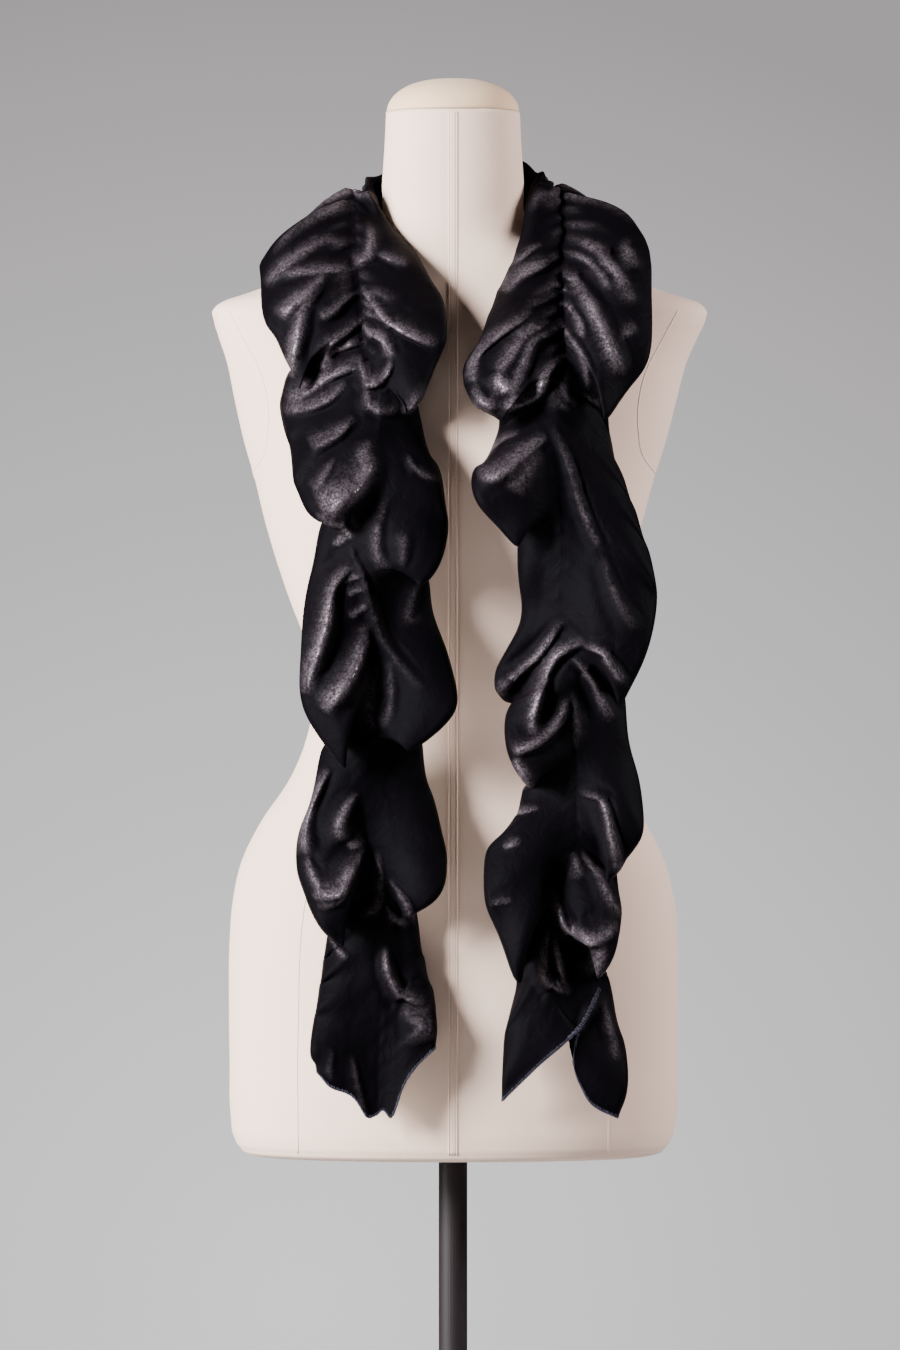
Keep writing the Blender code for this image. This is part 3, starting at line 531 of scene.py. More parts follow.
def through(points):
    """Curve through points, by the distance along them."""
    return Curve(chord_lengths(points), points)


def fold_path(fold, count):
    """Even places along a long fold, seen from the front."""
    path = through(np.array(fold[:8], float).reshape(4, 2))
    return path(np.linspace(0.0, path.t[-1], count))


FORM_CURVE = Curve([r.height for r in FORM_RINGS], [r[1:] for r in FORM_RINGS])


def bust(x, z):
    """How far the chest stands forward of its plain oval."""
    side = np.exp(-((np.abs(x) - BUST_ACROSS) / BUST_WIDTH) ** 2)
    level = np.exp(-((z - BUST_HEIGHT) / BUST_DROP) ** 2)
    return BUST_REACH * side * level


def form_excess(points):
    """Positive outside the form, near zero on its skin, as a share of its radius."""
    x, y, z = points.T
    width, front, back, shift, power = FORM_CURVE(z).T
    depth = np.where(y < 0, front + bust(x, z), back)
    return ((np.abs(x - shift) / width) ** power + (np.abs(y) / depth) ** power) ** (1 / power) - 1


def form_distance(points):
    """Distance to the form's skin and the outward direction there."""
    grad = np.empty_like(points)
    for axis in range(3):
        offset = np.zeros(3)
        offset[axis] = PROBE_STEP
        grad[:, axis] = form_excess(points + offset) - form_excess(points - offset)
    grad /= 2 * PROBE_STEP
    size = np.maximum(np.linalg.norm(grad, axis=1), 1e-6)
    return form_excess(points) / size, grad / size[:, None]


def rest_on_form(points, clearance):
    """Moves points that are in or too near the form out to the clearance."""
    for _ in range(REST_ROUNDS):
        gap, outward = form_distance(points)
        push = np.clip(clearance - gap, 0.0, REST_PUSH)
        points = points + outward * push[:, None]
    return points


def fold_lift(grid, folds):
    """Height that the long folds give a grid of points in front of the form, and the sheen painted along
    their crests.
    """
    flat = grid[..., [0, 2]]
    height = np.zeros(flat.shape[:2])
    gloss = np.zeros(flat.shape[:2])
    front = clamped((-FRONT_FROM - grid[..., 1]) / FRONT_REACH)
    for fold in folds:
        path = fold_path(fold, FOLD_STOPS)
        best = np.full(height.shape, 1e9)
        along = np.zeros(height.shape)
        breadth = np.ones(height.shape)
        for k, (a, b) in enumerate(zip(path, path[1:])):
            step = b - a
            share = clamped(((flat - a) @ step) / (step @ step))
            away = flat - a - share[..., None] * step
            far = np.linalg.norm(away, axis=-1)
            across = np.array([-step[1], step[0]])
            across *= np.sign(across @ UPPER_LEFT)
            nearer = far < best
            along = np.where(nearer, (k + share) / (len(path) - 1), along)
            breadth = np.where(nearer, np.where(away @ across > 0, GENTLE_SIDE, STEEP_SIDE), breadth)
            best = np.minimum(best, far)
        taper = (1.0 - np.abs(2.0 * along - 1.0) ** 3) * front
        off = best / (fold.width * breadth * (FOLD_START_WIDTH + FOLD_WIDENING * along))
        shape = np.exp(-off ** FOLD_SHARPNESS) * taper
        trough = np.exp(-((off - TROUGH_AT) / TROUGH_WIDTH) ** 2) * taper
        height += fold.height * (shape - TROUGH_SHARE * trough)
        # Painted sheen: a narrow core on the crest and a faint broader band, scaled by the fold's sheen
        # strength.
        crest = PAINTED_SHEEN_CORE * np.exp(-(off * PAINTED_SHEEN_NARROWING) ** 2) * taper
        gloss = np.maximum(gloss, fold.shine * (crest + (1.0 - PAINTED_SHEEN_CORE) * shape))
    return height, gloss


class Half:
    """One half width of the scarf on one side: its hem as a curve over the thread."""

    def __init__(self, side, thread, flutes, lobes, creases, seed):
        length = thread.t[-1]
        rows = []
        for flute in flutes:
            bearing = math.radians(flute.bearing)
            across = side * flute.radius * math.sin(bearing)
            back = NECK_CENTRE_Y + flute.radius * math.cos(bearing)
            rows.append(((across, back, flute.height), (FLUTE_BELLY, FLUTE_BOW), flute.root))
        for lobe, after in zip(lobes, lobes[1:] + (None,)):
            points = self.lobe_rows(lobe, after)
            stops = chord_lengths(points)
            share = ((after.root if after else length) - lobe.root) / stops[-1]
            if after:
                points = points[:-1]
            for point, stop in zip(points, stops):
                root = lobe.root + stop * share
                rows.append((point, (self.belly(point, root, thread), lobe.bow), root))
        points, extras, roots = zip(*rows)
        self.creases = creases
        self.along = chord_lengths(points)
        self.hem = softened(Curve(self.along, points))
        self.extra = Curve(self.along, extras)
        self.roots = np.array(roots)
        self.puckers = self.pucker_rows(length, seed)

    @staticmethod
    def pucker_rows(length, seed):
        """Small tucks at the thread, unevenly spaced: root, height, width and reach of each."""
        dice = random.Random(seed)
        rows = []
        at = dice.uniform(*PUCKER_START)
        while at < length - PUCKER_END:
            rows.append((
                at,
                PUCKER_HEIGHT * dice.uniform(*PUCKER_HEIGHTS),
                PUCKER_SPACING * dice.uniform(*PUCKER_WIDTHS),
                PUCKER_REACH * dice.uniform(*PUCKER_REACHES),
            ))
            at += PUCKER_SPACING * dice.uniform(*PUCKER_SPACINGS)
        return np.array(rows)

    @staticmethod
    def belly(hem, root, thread):
        """How far the middle of a rib swells: more where the hem stands forward of the thread."""
        forward = thread(root)[0, 1] - hem[1]
        return min(max(BELLY + BELLY_SHARE * forward, BELLY_LEAST), BELLY_MOST)

    @staticmethod
    def lobe_rows(lobe, after):
        """Hem points of one lobe, and of the fold that goes under the lobe to the next."""
        near, far = lobe.top_forward, lobe.foot_forward
        rows = [
            (lobe[1 + 2 * k], -(near + (far - near) * share), lobe[2 + 2 * k])
            for k, share in enumerate(LOBE_SHARES)
        ]
        if after is None:
            return rows
        under = after.top_forward < far
        lift = min(max(FOLD_LIFT * (lobe.top_z - lobe.foot_z), FOLD_LIFT_LEAST), FOLD_LIFT_MOST)
        if not under:
            lift *= FRONT_FOLD_LIFT
        gap_x = after.top_x - lobe.foot_x
        inward = -math.copysign(FOLD_INSET, gap_x) if not under else 0.0
        middle = (far + after.top_forward) / 2
        behind = after.top_forward - (FOLD_SETBACK if under else 0.0)
        rows.append((lobe.foot_x + FOLD_AWAY * gap_x + inward, -middle, lobe.foot_z + lift))
        rows.append((after.top_x - FOLD_BACK * gap_x + inward, -behind, after.top_z + lift))
        rows.append((after.top_x, -after.top_forward, after.top_z))
        return rows

    def at(self, root):
        """Hem point, belly and bow for places along the thread."""
        along = np.interp(root, self.roots, self.along)
        return self.hem(along), self.extra(along)

    def crease_height(self, root, share):
        """Height of creases and puckers over a grid of ribs and shares; puckers fade down the tail."""
        lower = 1.0 - PUCKER_FADE * clamped((root - FILL_FROM) / (FILL_BY - FILL_FROM))[:, None]
        rise = clamped(share / CREASE_RISE)
        rise = rise * (2 - rise)
        total = np.zeros((len(root), len(share)))
        for crease in self.creases:
            off = root[:, None] - crease.root - crease.slant * (1 - (1 - share) ** 2)
            spread = crease.width * (CREASE_START_WIDTH + CREASE_WIDENING * share)
            shape = eased(clamped((crease.reach + CREASE_OVERRUN - share) / CREASE_END)) * rise
            total += crease.height * np.exp(-np.abs(off / spread) ** CREST_SHARPNESS) * shape
        for at, height, width, reach in self.puckers:
            off = root[:, None] - at - PUCKER_SLANT * share
            spread = width * (1.0 + PUCKER_WIDENING * share)
            shape = eased(clamped(1.0 - share / reach)) * rise * lower
            total += height * np.exp(-(off / spread) ** 2) * shape
        return total


class Scarf:
    """The whole gathered strip; a place is its distance along the thread, left negative."""

    def __init__(self):
        left, right = np.array(LEFT_THREAD, float), np.array(RIGHT_THREAD, float)
        threads = {"left": through(left), "right": through(right)}
        self.lengths = {side: thread.t[-1] for side, thread in threads.items()}
        places = np.concatenate([-chord_lengths(left)[:0:-1], chord_lengths(right)])
        self.thread = Curve(places, np.vstack([left[:0:-1], right]))
        self.halves = {
            (side, kind): Half(SIGNS[side], threads[side], *tables)
            for (side, kind), tables in HALVES.items()
        }

    def facing(self, roots):
        """Direction away from the wearer at points of the thread."""
        core = roots * (CORE_SHARE, 0.0, 0.0) + (0.0, NECK_CENTRE_Y, CORE_HEIGHT)
        blend = clamped((roots[:, 2] - FLAT_BELOW) / (ROUND_ABOVE - FLAT_BELOW))[:, None]
        return unit(unit(roots - core) * blend + np.array([0.0, -1.0, 0.0]) * (1 - blend))

    def hem(self, kind, places, shares):
        """Hem points, bellies with bows, and crease heights of one kind of half for signed places."""
        hem = np.empty((len(places), 3))
        extra = np.empty((len(places), 2))
        creases = np.empty((len(places), len(shares)))
        for side, mask in (("left", places < 0), ("right", places >= 0)):
            if mask.any():
                half = self.halves[side, kind]
                root = np.abs(places[mask])
                hem[mask], extra[mask] = half.at(root)
                creases[mask] = half.crease_height(root, shares)
        return hem, extra, creases

    def ribs(self, kind, places, shares):
        """Grid of points and the sheen painted on it: a rib for each place, a row for each share to the
        hem.
        """
        roots = self.thread(places)
        hem, extra, creases = self.hem(kind, places, shares)
        out = self.facing(roots)
        chord = hem - roots
        along = unit(chord)
        length = np.linalg.norm(chord, axis=1, keepdims=True)
        belly = np.minimum(extra[:, :1], length * BELLY_OF_RIB)
        rise = np.array([0.0, 0.0, 1.0]) - along * along[:, 2:3]
        rise = unit(rise) * length * extra[:, 1:2]
        v = shares[None, :, None]
        swell = SWELL_SCALE * v**SWELL_START * (1 - v) ** SWELL_END
        low = clamped((np.abs(places) - FILL_FROM) / (FILL_BY - FILL_FROM))
        high = UPPER_FILL * clamped((np.abs(places) - UPPER_FILL_FROM) / UPPER_FILL_REACH)
        beside = np.exp(-(v * length[:, None] / THREAD_FILL_REACH) ** 2)
        beside = beside * np.maximum(low, high)[:, None, None]
        rounded = belly[:, None] * swell * (1 - beside) + THREAD_FILL * beside
        base = roots[:, None] + chord[:, None] * v + out[:, None] * rounded
        base = base + rise[:, None] * 4 * v * (1 - v)
        near = clamped((v - 1.0) * length[:, None] / ROLL + 1.0)
        plump = eased(clamped((v - ROLL_START) / (ROLL_FULL - ROLL_START)))
        base = base + out[:, None] * ROLL * plump * np.sqrt(1 - near * near)
        down = self.thread(places + THREAD_STEP) - self.thread(places - THREAD_STEP)
        down = unit(down) * np.sign(places)[:, None]
        wander = WAVE_WANDER * np.sin(places / WANDER_LENGTH)
        wave = WAVE_HEIGHT * np.sin(2 * math.pi * (places / WAVE_LENGTH + wander))
        lift = creases + wave[:, None] * shares[None, :] ** 2
        base = base + (out + LEAN * down)[:, None] * lift[:, :, None]
        # Painted sheen on the crests of the creases and puckers, rising with their height.
        shine = np.clip(creases - PUCKER_SHEEN_FROM, 0.0, PUCKER_SHEEN_SPAN) ** 2 * PUCKER_PAINTED_SHEEN
        for side, folds in (("left", LEFT_FOLDS), ("right", RIGHT_FOLDS + (LAP,))):
            mask = places * SIGNS[side] > 0
            if mask.any():
                height, gloss = fold_lift(base[mask], folds)
                push = out[mask, None] + FOLD_LEAN * np.array([0.0, 0.0, -1.0])
                base[mask] = base[mask] + push * height[:, :, None]
                shine[mask] = np.maximum(shine[mask], gloss)
        return base + self.end_shift(kind, places, shares), shine

    def end_shift(self, kind, places, shares):
        """Shift of the last ribs of a tail towards the shape of its raw end."""
        total = np.zeros((len(places), len(shares), 3))
        for side, sign in SIGNS.items():
            rows = END_SHIFTS[side, kind]
            shift = Curve([r.share for r in rows], [(r.across, -r.forward, r.up) for r in rows])(shares)
            weight = clamped((places * sign - self.lengths[side] + END_REACH) / END_REACH) ** 2
            total += weight[:, None, None] * shift[None]
        return total

    def sections(self, start, end, step):
        """Places of the sections, closer together where the hems turn or run fast."""
        fine = np.linspace(start, end, FINE_PLACES)
        weight = THREAD_WEIGHT * np.diff(fine)
        for kind in ("outer", "inner"):
            hem = self.hem(kind, fine, np.ones(1))[0]
            weight += HEM_WEIGHT * np.linalg.norm(np.diff(hem, axis=0), axis=1)
        total = np.concatenate([[0.0], np.cumsum(weight)])
        count = int(round(total[-1] / (2.0 * step)))
        return np.interp(np.linspace(0, total[-1], count + 1), total, fine)


def new_object(name, data):
    """Makes an object of that mesh, curve, light or camera and links it to the scene."""
    obj = bpy.data.objects.new(name, data)
    bpy.context.scene.collection.objects.link(obj)
    return obj


def smooth_object(name, points, faces):
    """A smooth mesh object from points in millimetres."""
    mesh = bpy.data.meshes.new(name)
    mesh.from_pydata([tuple(map(float, p)) for p in np.asarray(points) * MM], [], faces)
    mesh.polygons.foreach_set("use_smooth", [True] * len(mesh.polygons))
    return new_object(name, mesh)


def closed_object(name, points, faces):
    """A smooth mesh object whose faces all look outwards."""
    obj = smooth_object(name, points, faces)
    outward(obj)
    return obj


def plain_mesh(obj):
    """The mesh that an object's modifiers or bevel give; the object itself goes."""
    bpy.context.view_layer.update()
    mesh = bpy.data.meshes.new_from_object(obj.evaluated_get(bpy.context.evaluated_depsgraph_get()))
    bpy.data.objects.remove(obj, do_unlink=True)
    return mesh


def grid_faces(rows, columns):
    """Quads of a grid of points."""
    corners = [i * columns + j for i in range(rows - 1) for j in range(columns - 1)]
    return [(a, a + 1, a + columns + 1, a + columns) for a in corners]


def tube_faces(count, sides):
    """Quads between closed rings of points."""
    faces = []
    for i in range(count - 1):
        low, high = i * sides, (i + 1) * sides
        for j in range(sides):
            k = (j + 1) % sides
            faces.append((low + j, low + k, high + k, high + j))
    return faces


def walled(name, grid, wall):
    """A closed shell of the given wall over a grid of mid-wall points, in millimetres."""
    normal = unit(np.cross(np.gradient(grid, axis=0), np.gradient(grid, axis=1)))
    sides = [(grid + normal * half).reshape(-1, 3) for half in (wall / 2, -wall / 2)]
    rows, columns = grid.shape[:2]
    count = rows * columns
    faces = grid_faces(rows, columns)
    faces += [tuple(count + k for k in reversed(face)) for face in faces]
    rim = [i * columns for i in range(rows)]
    rim += [(rows - 1) * columns + j for j in range(1, columns)]
    rim += [i * columns + columns - 1 for i in range(rows - 2, -1, -1)]
    rim += list(range(columns - 2, 0, -1))
    faces += [(b, a, a + count, b + count) for a, b in zip(rim, rim[1:] + rim[:1])]
    return closed_object(name, np.vstack(sides), faces)


def full_turn(segments):
    """Equal angles of a whole turn."""
    return np.linspace(0, 2 * math.pi, segments, endpoint=False)


def round_ring(radius, height, segments, middle=0.0):
    """Level circle of points about an upright line."""
    turn = full_turn(segments)
    return np.stack(
        [radius * np.cos(turn), middle + radius * np.sin(turn), np.full(segments, height)], 1
    )


# Skin of the form and shells laid on it
def form_ring(height, segments):
    """Level ring of the dress form's skin."""
    width, front, back, shift, power = FORM_CURVE(height)[0]
    turn = full_turn(segments)
    c, s = np.cos(turn), np.sin(turn)
    x = shift + width * np.sign(c) * np.abs(c) ** (2 / power)
    swell = np.where(s < 0, front + bust(x, height), back)
    y = swell * np.sign(s) * np.abs(s) ** (2 / power)
    return np.stack([x, y, np.full(segments, height)], 1)


def skin(x, z, side):
    """Points of the form's skin for places across and heights; side -1 is the front, 1 the back."""
    width, front, back, shift, power = FORM_CURVE(z).T
    x = shift + np.clip(x - shift, -SKIN_EDGE * width, SKIN_EDGE * width)
    share = np.abs(x - shift) / width
    depth = front + bust(x, z) if side < 0 else back
    return np.stack([x, side * depth * (1 - share**power) ** (1 / power), z], 1)


def loft(name, rings):
    """Closed body through equal level rings, in millimetres, with a fan at each end."""
    rings = np.asarray(rings, float)
    count, segments = rings.shape[:2]
    low, high, top = count * segments, count * segments + 1, (count - 1) * segments
    faces = tube_faces(count, segments)
    for j in range(segments):
        k = (j + 1) % segments
        faces += [(low, k, j), (high, top + j, top + k)]
    points = np.vstack([rings.reshape(-1, 3), rings[0].mean(axis=0), rings[-1].mean(axis=0)])
    return closed_object(name, points, faces)


def outward(obj):
    """Turns every face of a closed mesh outwards."""
    shape = bmesh.new()
    shape.from_mesh(obj.data)
    bmesh.ops.recalc_face_normals(shape, faces=shape.faces)
    if shape.calc_volume(signed=True) < 0:
        bmesh.ops.reverse_faces(shape, faces=shape.faces)
    shape.to_mesh(obj.data)
    shape.free()


def joined(name, objects):
    """One mesh object made of several."""
    shape = bmesh.new()
    for obj in objects:
        shape.from_mesh(obj.data)
        bpy.data.objects.remove(obj, do_unlink=True)
    mesh = bpy.data.meshes.new(name)
    shape.to_mesh(mesh)
    shape.free()
    return new_object(name, mesh)


def tape(name, line, width, height):
    """A thin crowned tape of that width along a line on the form's skin."""
    out = form_distance(line)[1]
    side = unit(np.cross(unit(np.gradient(line, axis=0)), out))
    rings = [line + side * width * across + out * height * rise for across, rise in TAPE_SECTION]
    rings = np.stack(rings, axis=1)
    count, sides = rings.shape[:2]
    faces = tube_faces(count, sides)
    faces.append(tuple(reversed(range(sides))))
    faces.append(tuple((count - 1) * sides + j for j in range(sides)))
    return closed_object(name, rings.reshape(-1, 3), faces)


# Materials
def fill(made, at=(), **settings):
    """Sets a node's own values, or by name and by number the defaults of its sockets."""
    for name, value in settings.items():
        if hasattr(made, name):
            setattr(made, name, value)
        else:
            made.inputs[name.replace("_", " ")].default_value = value
    for index, value in dict(at).items():
        made.inputs[index].default_value = value
    return made


def node(tree, kind, at=(), **settings):
    """Adds a node with its values."""
    return fill(tree.nodes.new(kind), at, **settings)


def math_node(tree, operation, at=(), **settings):
    """Adds a node that works on numbers."""
    return node(tree, "ShaderNodeMath", at, operation=operation, **settings)


def colour_mix(tree, at=()):
    """Adds a node that mixes the colours of its sockets 6 and 7."""
    return node(tree, "ShaderNodeMix", at, data_type="RGBA")


COMMON_NODES = {"start": "NodeGroupInput", "end": "NodeGroupOutput", "place": "ShaderNodeTexCoord"}


def wire(tree, links, **nodes):
    """Joins the sockets of named nodes; a link reads "node.socket > node.socket"."""
    for link in filter(str.strip, links.replace("\n", ",").split(",")):
        found = []
        for end in link.split(">"):
            name, label = end.strip().split(".")
            if name not in nodes:
                nodes[name] = node(tree, COMMON_NODES[name])
            found.append((nodes[name], int(label) if label.isdigit() else label))
        (source, out), (target, into) = found
        tree.links.new(source.outputs[out], target.inputs[into])


def new_group(name, tree_type, inputs, outputs):
    """A node group; each input is a name, a kind of socket, and for numbers a default and limits."""
    group = bpy.data.node_groups.new(name, tree_type)
    for label, kind, *values in inputs:
        made = group.interface.new_socket(name=label, in_out="INPUT", socket_type="NodeSocket" + kind)
        if values:
            made.default_value = values[0]
        if len(values) > 1:
            made.min_value, made.max_value = values[1:]
    for label, kind in outputs:
        group.interface.new_socket(name=label, in_out="OUTPUT", socket_type="NodeSocket" + kind)
    return group


def mottle_group():
    """Soft uneven shade of a cloth or paint: a coarse cloud and a fine grain mixed over a colour."""
    group = new_group("uneven_shade", "ShaderNodeTree", (
        ("Colour", "Color", (0.5, 0.5, 0.5, 1.0)),
        ("Second Colour", "Color", (0.4, 0.4, 0.4, 1.0)),
        ("Cloud Scale", "Float", 20.0, 0.0, 5000.0),
        ("Grain Scale", "Float", 600.0, 0.0, 5000.0),
        ("Cloud Share", "Float", 0.5, 0.0, 1.0),
    ), (("Shade", "Color"), ("Cloud", "Float"), ("Grain", "Float")))
    wire(
        group, """
        place.Object > cloud.Vector, place.Object > grain.Vector
        start.Cloud Scale > cloud.Scale, start.Grain Scale > grain.Scale
        start.Cloud Share > blend.Factor, grain.Fac > blend.A, cloud.Fac > blend.B
        blend.Result > mix.Factor, start.Colour > mix.6, start.Second Colour > mix.7
        mix.2 > end.Shade, cloud.Fac > end.Cloud, grain.Fac > end.Grain
        """,
        cloud=node(group, "ShaderNodeTexNoise", Detail=3.0, Roughness=0.55),
        grain=node(group, "ShaderNodeTexNoise", Detail=2.0, Roughness=0.6),
        blend=node(group, "ShaderNodeMix"),
        mix=colour_mix(group),
    )
    return group


def pile_group():
    """Sheen painted on a pile: along the crests marked in the mesh's painted sheen share the colour turns
    lighter, the metal rises and the roughness falls, broken by short streaks and crushed patches; a fine
    tooth gives its bump.
    """
    group = new_group("nap_painted_sheen", "ShaderNodeTree", (
        ("Flat Colour", "Color", (0.01, 0.01, 0.01, 1.0)),
        # Crest Colour is the colour of the painted sheen.
        ("Crest Colour", "Color", (0.1, 0.1, 0.1, 1.0)),
        ("Streak Scale", "Float", 30.0, 0.0, 5000.0),
        ("Tooth Scale", "Float", 900.0, 0.0, 9000.0),
        ("Crush Scale", "Float", 70.0, 0.0, 5000.0),
        ("Streak Depth", "Float", 0.5, 0.0, 1.0),
        ("Crest Metal", "Float", 0.8, 0.0, 1.0),
        ("Crest Roughness", "Float", 0.4, 0.0, 1.0),
        ("Flat Roughness", "Float", 0.7, 0.0, 1.0),
    ), (
        ("Colour", "Color"), ("Gloss", "Float"), ("Roughness", "Float"), ("Height", "Float"),
        ("Crush", "Float"),
    ))
    # The attribute node reads each point's painted sheen share; the mix paints the crest colour over the
    # flat colour there.
    wire(
        group, """
        place.Object > crush.Vector, place.Object > streak.Vector, place.Object > tooth.Vector
        start.Crush Scale > crush.Scale, start.Streak Scale > streak.Scale, start.Tooth Scale > tooth.Scale
        start.Streak Depth > least.1, least.Value > spread.To Min
        streak.Fac > spread.Value, crush.Fac > patchy.Value
        crest.Fac > uneven.0, patchy.Result > uneven.1
        uneven.Value > broken.0, spread.Result > broken.1
        broken.Value > mix.Factor, start.Flat Colour > mix.6, start.Crest Colour > mix.7
        broken.Value > rough.Value, start.Flat Roughness > rough.To Min
        start.Crest Roughness > rough.To Max
        broken.Value > gloss.0, start.Crest Metal > gloss.1
        mix.2 > end.Colour, gloss.Value > end.Gloss, rough.Result > end.Roughness
        tooth.Fac > end.Height, crush.Fac > end.Crush
        """,
        crush=node(group, "ShaderNodeTexNoise", Detail=3.0, Roughness=0.5, Distortion=1.2),
        crest=node(group, "ShaderNodeAttribute", attribute_name="painted_lustre"),
        streak=node(group, "ShaderNodeTexNoise", Detail=4.0, Roughness=0.65),
        tooth=node(group, "ShaderNodeTexNoise", Detail=2.0, Roughness=0.7),
        spread=node(group, "ShaderNodeMapRange", From_Min=0.4, From_Max=0.62, To_Max=1.2),
        patchy=node(group, "ShaderNodeMapRange", From_Min=0.38, From_Max=0.58, To_Min=0.45),
        rough=node(group, "ShaderNodeMapRange"),
        uneven=math_node(group, "MULTIPLY"),
        least=math_node(group, "SUBTRACT", {0: 1.0}),
        broken=math_node(group, "MULTIPLY", use_clamp=True),
        gloss=math_node(group, "MULTIPLY"),
        mix=colour_mix(group),
    )
    return group


def weave_group():
    """Knit of a stretched jersey: fine courses across and wales up the cloth."""
    group = new_group("jersey_knit", "ShaderNodeTree", (
        ("Rows Scale", "Float", 300.0, 0.0, 5000.0), ("Wobble", "Float", 1.0, 0.0, 20.0),
    ), (("Height", "Float"),))
    wire(
        group, """
        place.Object > rows.Vector, start.Rows Scale > rows.Scale, start.Wobble > rows.Distortion
        place.Object > wales.Vector, start.Rows Scale > wales.Scale, start.Wobble > wales.Distortion
        rows.Fac > product.0, wales.Fac > product.1, product.Value > end.Height
        """,
        rows=node(group, "ShaderNodeTexWave", bands_direction="Z"),
        wales=node(group, "ShaderNodeTexWave", bands_direction="X"),
        product=math_node(group, "MULTIPLY"),
    )
    return group


def shaded_material(name, colour, second, cloud_scale, grain_scale, cloud_share):
    """A node material, and its uneven shade between a colour and a multiple of that colour."""
    material = bpy.data.materials.new(name)
    material.use_nodes = True
    material.diffuse_color = (*colour, 1.0)
    tree = material.node_tree
    shade = node(
        tree, "ShaderNodeGroup", node_tree=groups()["shade"], Colour=(*colour, 1.0),
        Second_Colour=(*(own * other for own, other in zip(colour, second)), 1.0),
        Cloud_Scale=cloud_scale, Grain_Scale=grain_scale, Cloud_Share=cloud_share,
    )
    return material, tree, tree.nodes["Principled BSDF"], shade


def bump(tree, strength, distance):
    """Adds a bump of that strength and depth in metres."""
    return node(tree, "ShaderNodeBump", Strength=strength, Distance=distance)


def velvet(name, colour, painted_lustre):
    """Black pile cloth: near black over its flats, with a grey-violet sheen painted along its crests."""
    material, tree, shader, shade = shaded_material(name, colour, (2.2, 2.0, 2.2), 45.0, 900.0, 0.5)
    # The painted sheen sets the base colour, the metal and the roughness along the crests.
    wire(
        tree, """
        shade.Shade > nap.Flat Colour, nap.Colour > shader.Base Color, nap.Gloss > shader.Metallic
        nap.Roughness > shader.Roughness, nap.Crush > soft.Height, soft.Normal > fine.Normal
        nap.Height > fine.Height, fine.Normal > shader.Normal
        """,
        nap=node(
            tree, "ShaderNodeGroup", node_tree=groups()["nap"], Crest_Colour=(*painted_lustre, 1.0),
            Streak_Scale=560.0, Tooth_Scale=900.0, Streak_Depth=0.75, Crest_Metal=0.8,
            Crest_Roughness=0.36, Flat_Roughness=0.6,
        ),
        fine=bump(tree, 0.35, 0.0006), soft=bump(tree, 0.4, 0.0022), shade=shade,
        shader=fill(
            shader, Specular_IOR_Level=0.02, Sheen_Weight=0.004, Sheen_Roughness=0.35,
            Sheen_Tint=(0.85, 0.78, 0.88, 1.0),
        ),
    )
    return material


def cover_cloth(name, colour):
    """Cream jersey stretched over the form."""
    material, tree, shader, shade = shaded_material(name, colour, (0.93, 0.91, 0.88), 9.0, 900.0, 0.6)
    wire(
        tree, """
        shade.Shade > shader.Base Color, knit.Height > stitch.Height, stitch.Normal > shader.Normal
        """,
        knit=node(
            tree, "ShaderNodeGroup", node_tree=groups()["knit"], Rows_Scale=280.0, Wobble=1.5,
        ),
        stitch=bump(tree, 0.25, 0.0003), shade=shade,
        shader=fill(
            shader, Roughness=0.85, Specular_IOR_Level=0.25, Sheen_Weight=0.12, Sheen_Roughness=0.6,
        ),
    )
    return material


def paint(name, colour):
    """Satin black paint on metal with a faint orange-peel skin and duller patches."""
    material, tree, shader, shade = shaded_material(name, colour, (1.5, 1.4, 1.4), 14.0, 500.0, 0.7)
    wire(
        tree, """
        shade.Shade > shader.Base Color, shade.Cloud > rough.Value, rough.Result > shader.Roughness
        shade.Grain > peel.Height, peel.Normal > shader.Normal
        """,
        rough=node(tree, "ShaderNodeMapRange", To_Min=0.45, To_Max=0.6),
        peel=bump(tree, 0.06, 0.0003), shade=shade, shader=fill(shader, Specular_IOR_Level=0.28),
    )
    return material


def thread_material(name, colour):
    """Spun thread of the overcast edge."""
    material, tree, shader, shade = shaded_material(name, colour, (0.5, 0.5, 0.55), 300.0, 2500.0, 0.4)
    wire(
        tree, """
        shade.Shade > shader.Base Color, shade.Grain > twist.Height, twist.Normal > shader.Normal
        """,
        twist=bump(tree, 0.2, 0.0002), shade=shade, shader=fill(shader, Roughness=0.6),
    )
    return material


def floor_material(name, colour):
    """Matt pale studio floor."""
    material, tree, shader, shade = shaded_material(name, colour, (0.97,) * 3, 1.2, 60.0, 0.8)
    wire(tree, "shade.Shade > shader.Base Color", shade=shade, shader=fill(shader, Roughness=0.9))
    return material


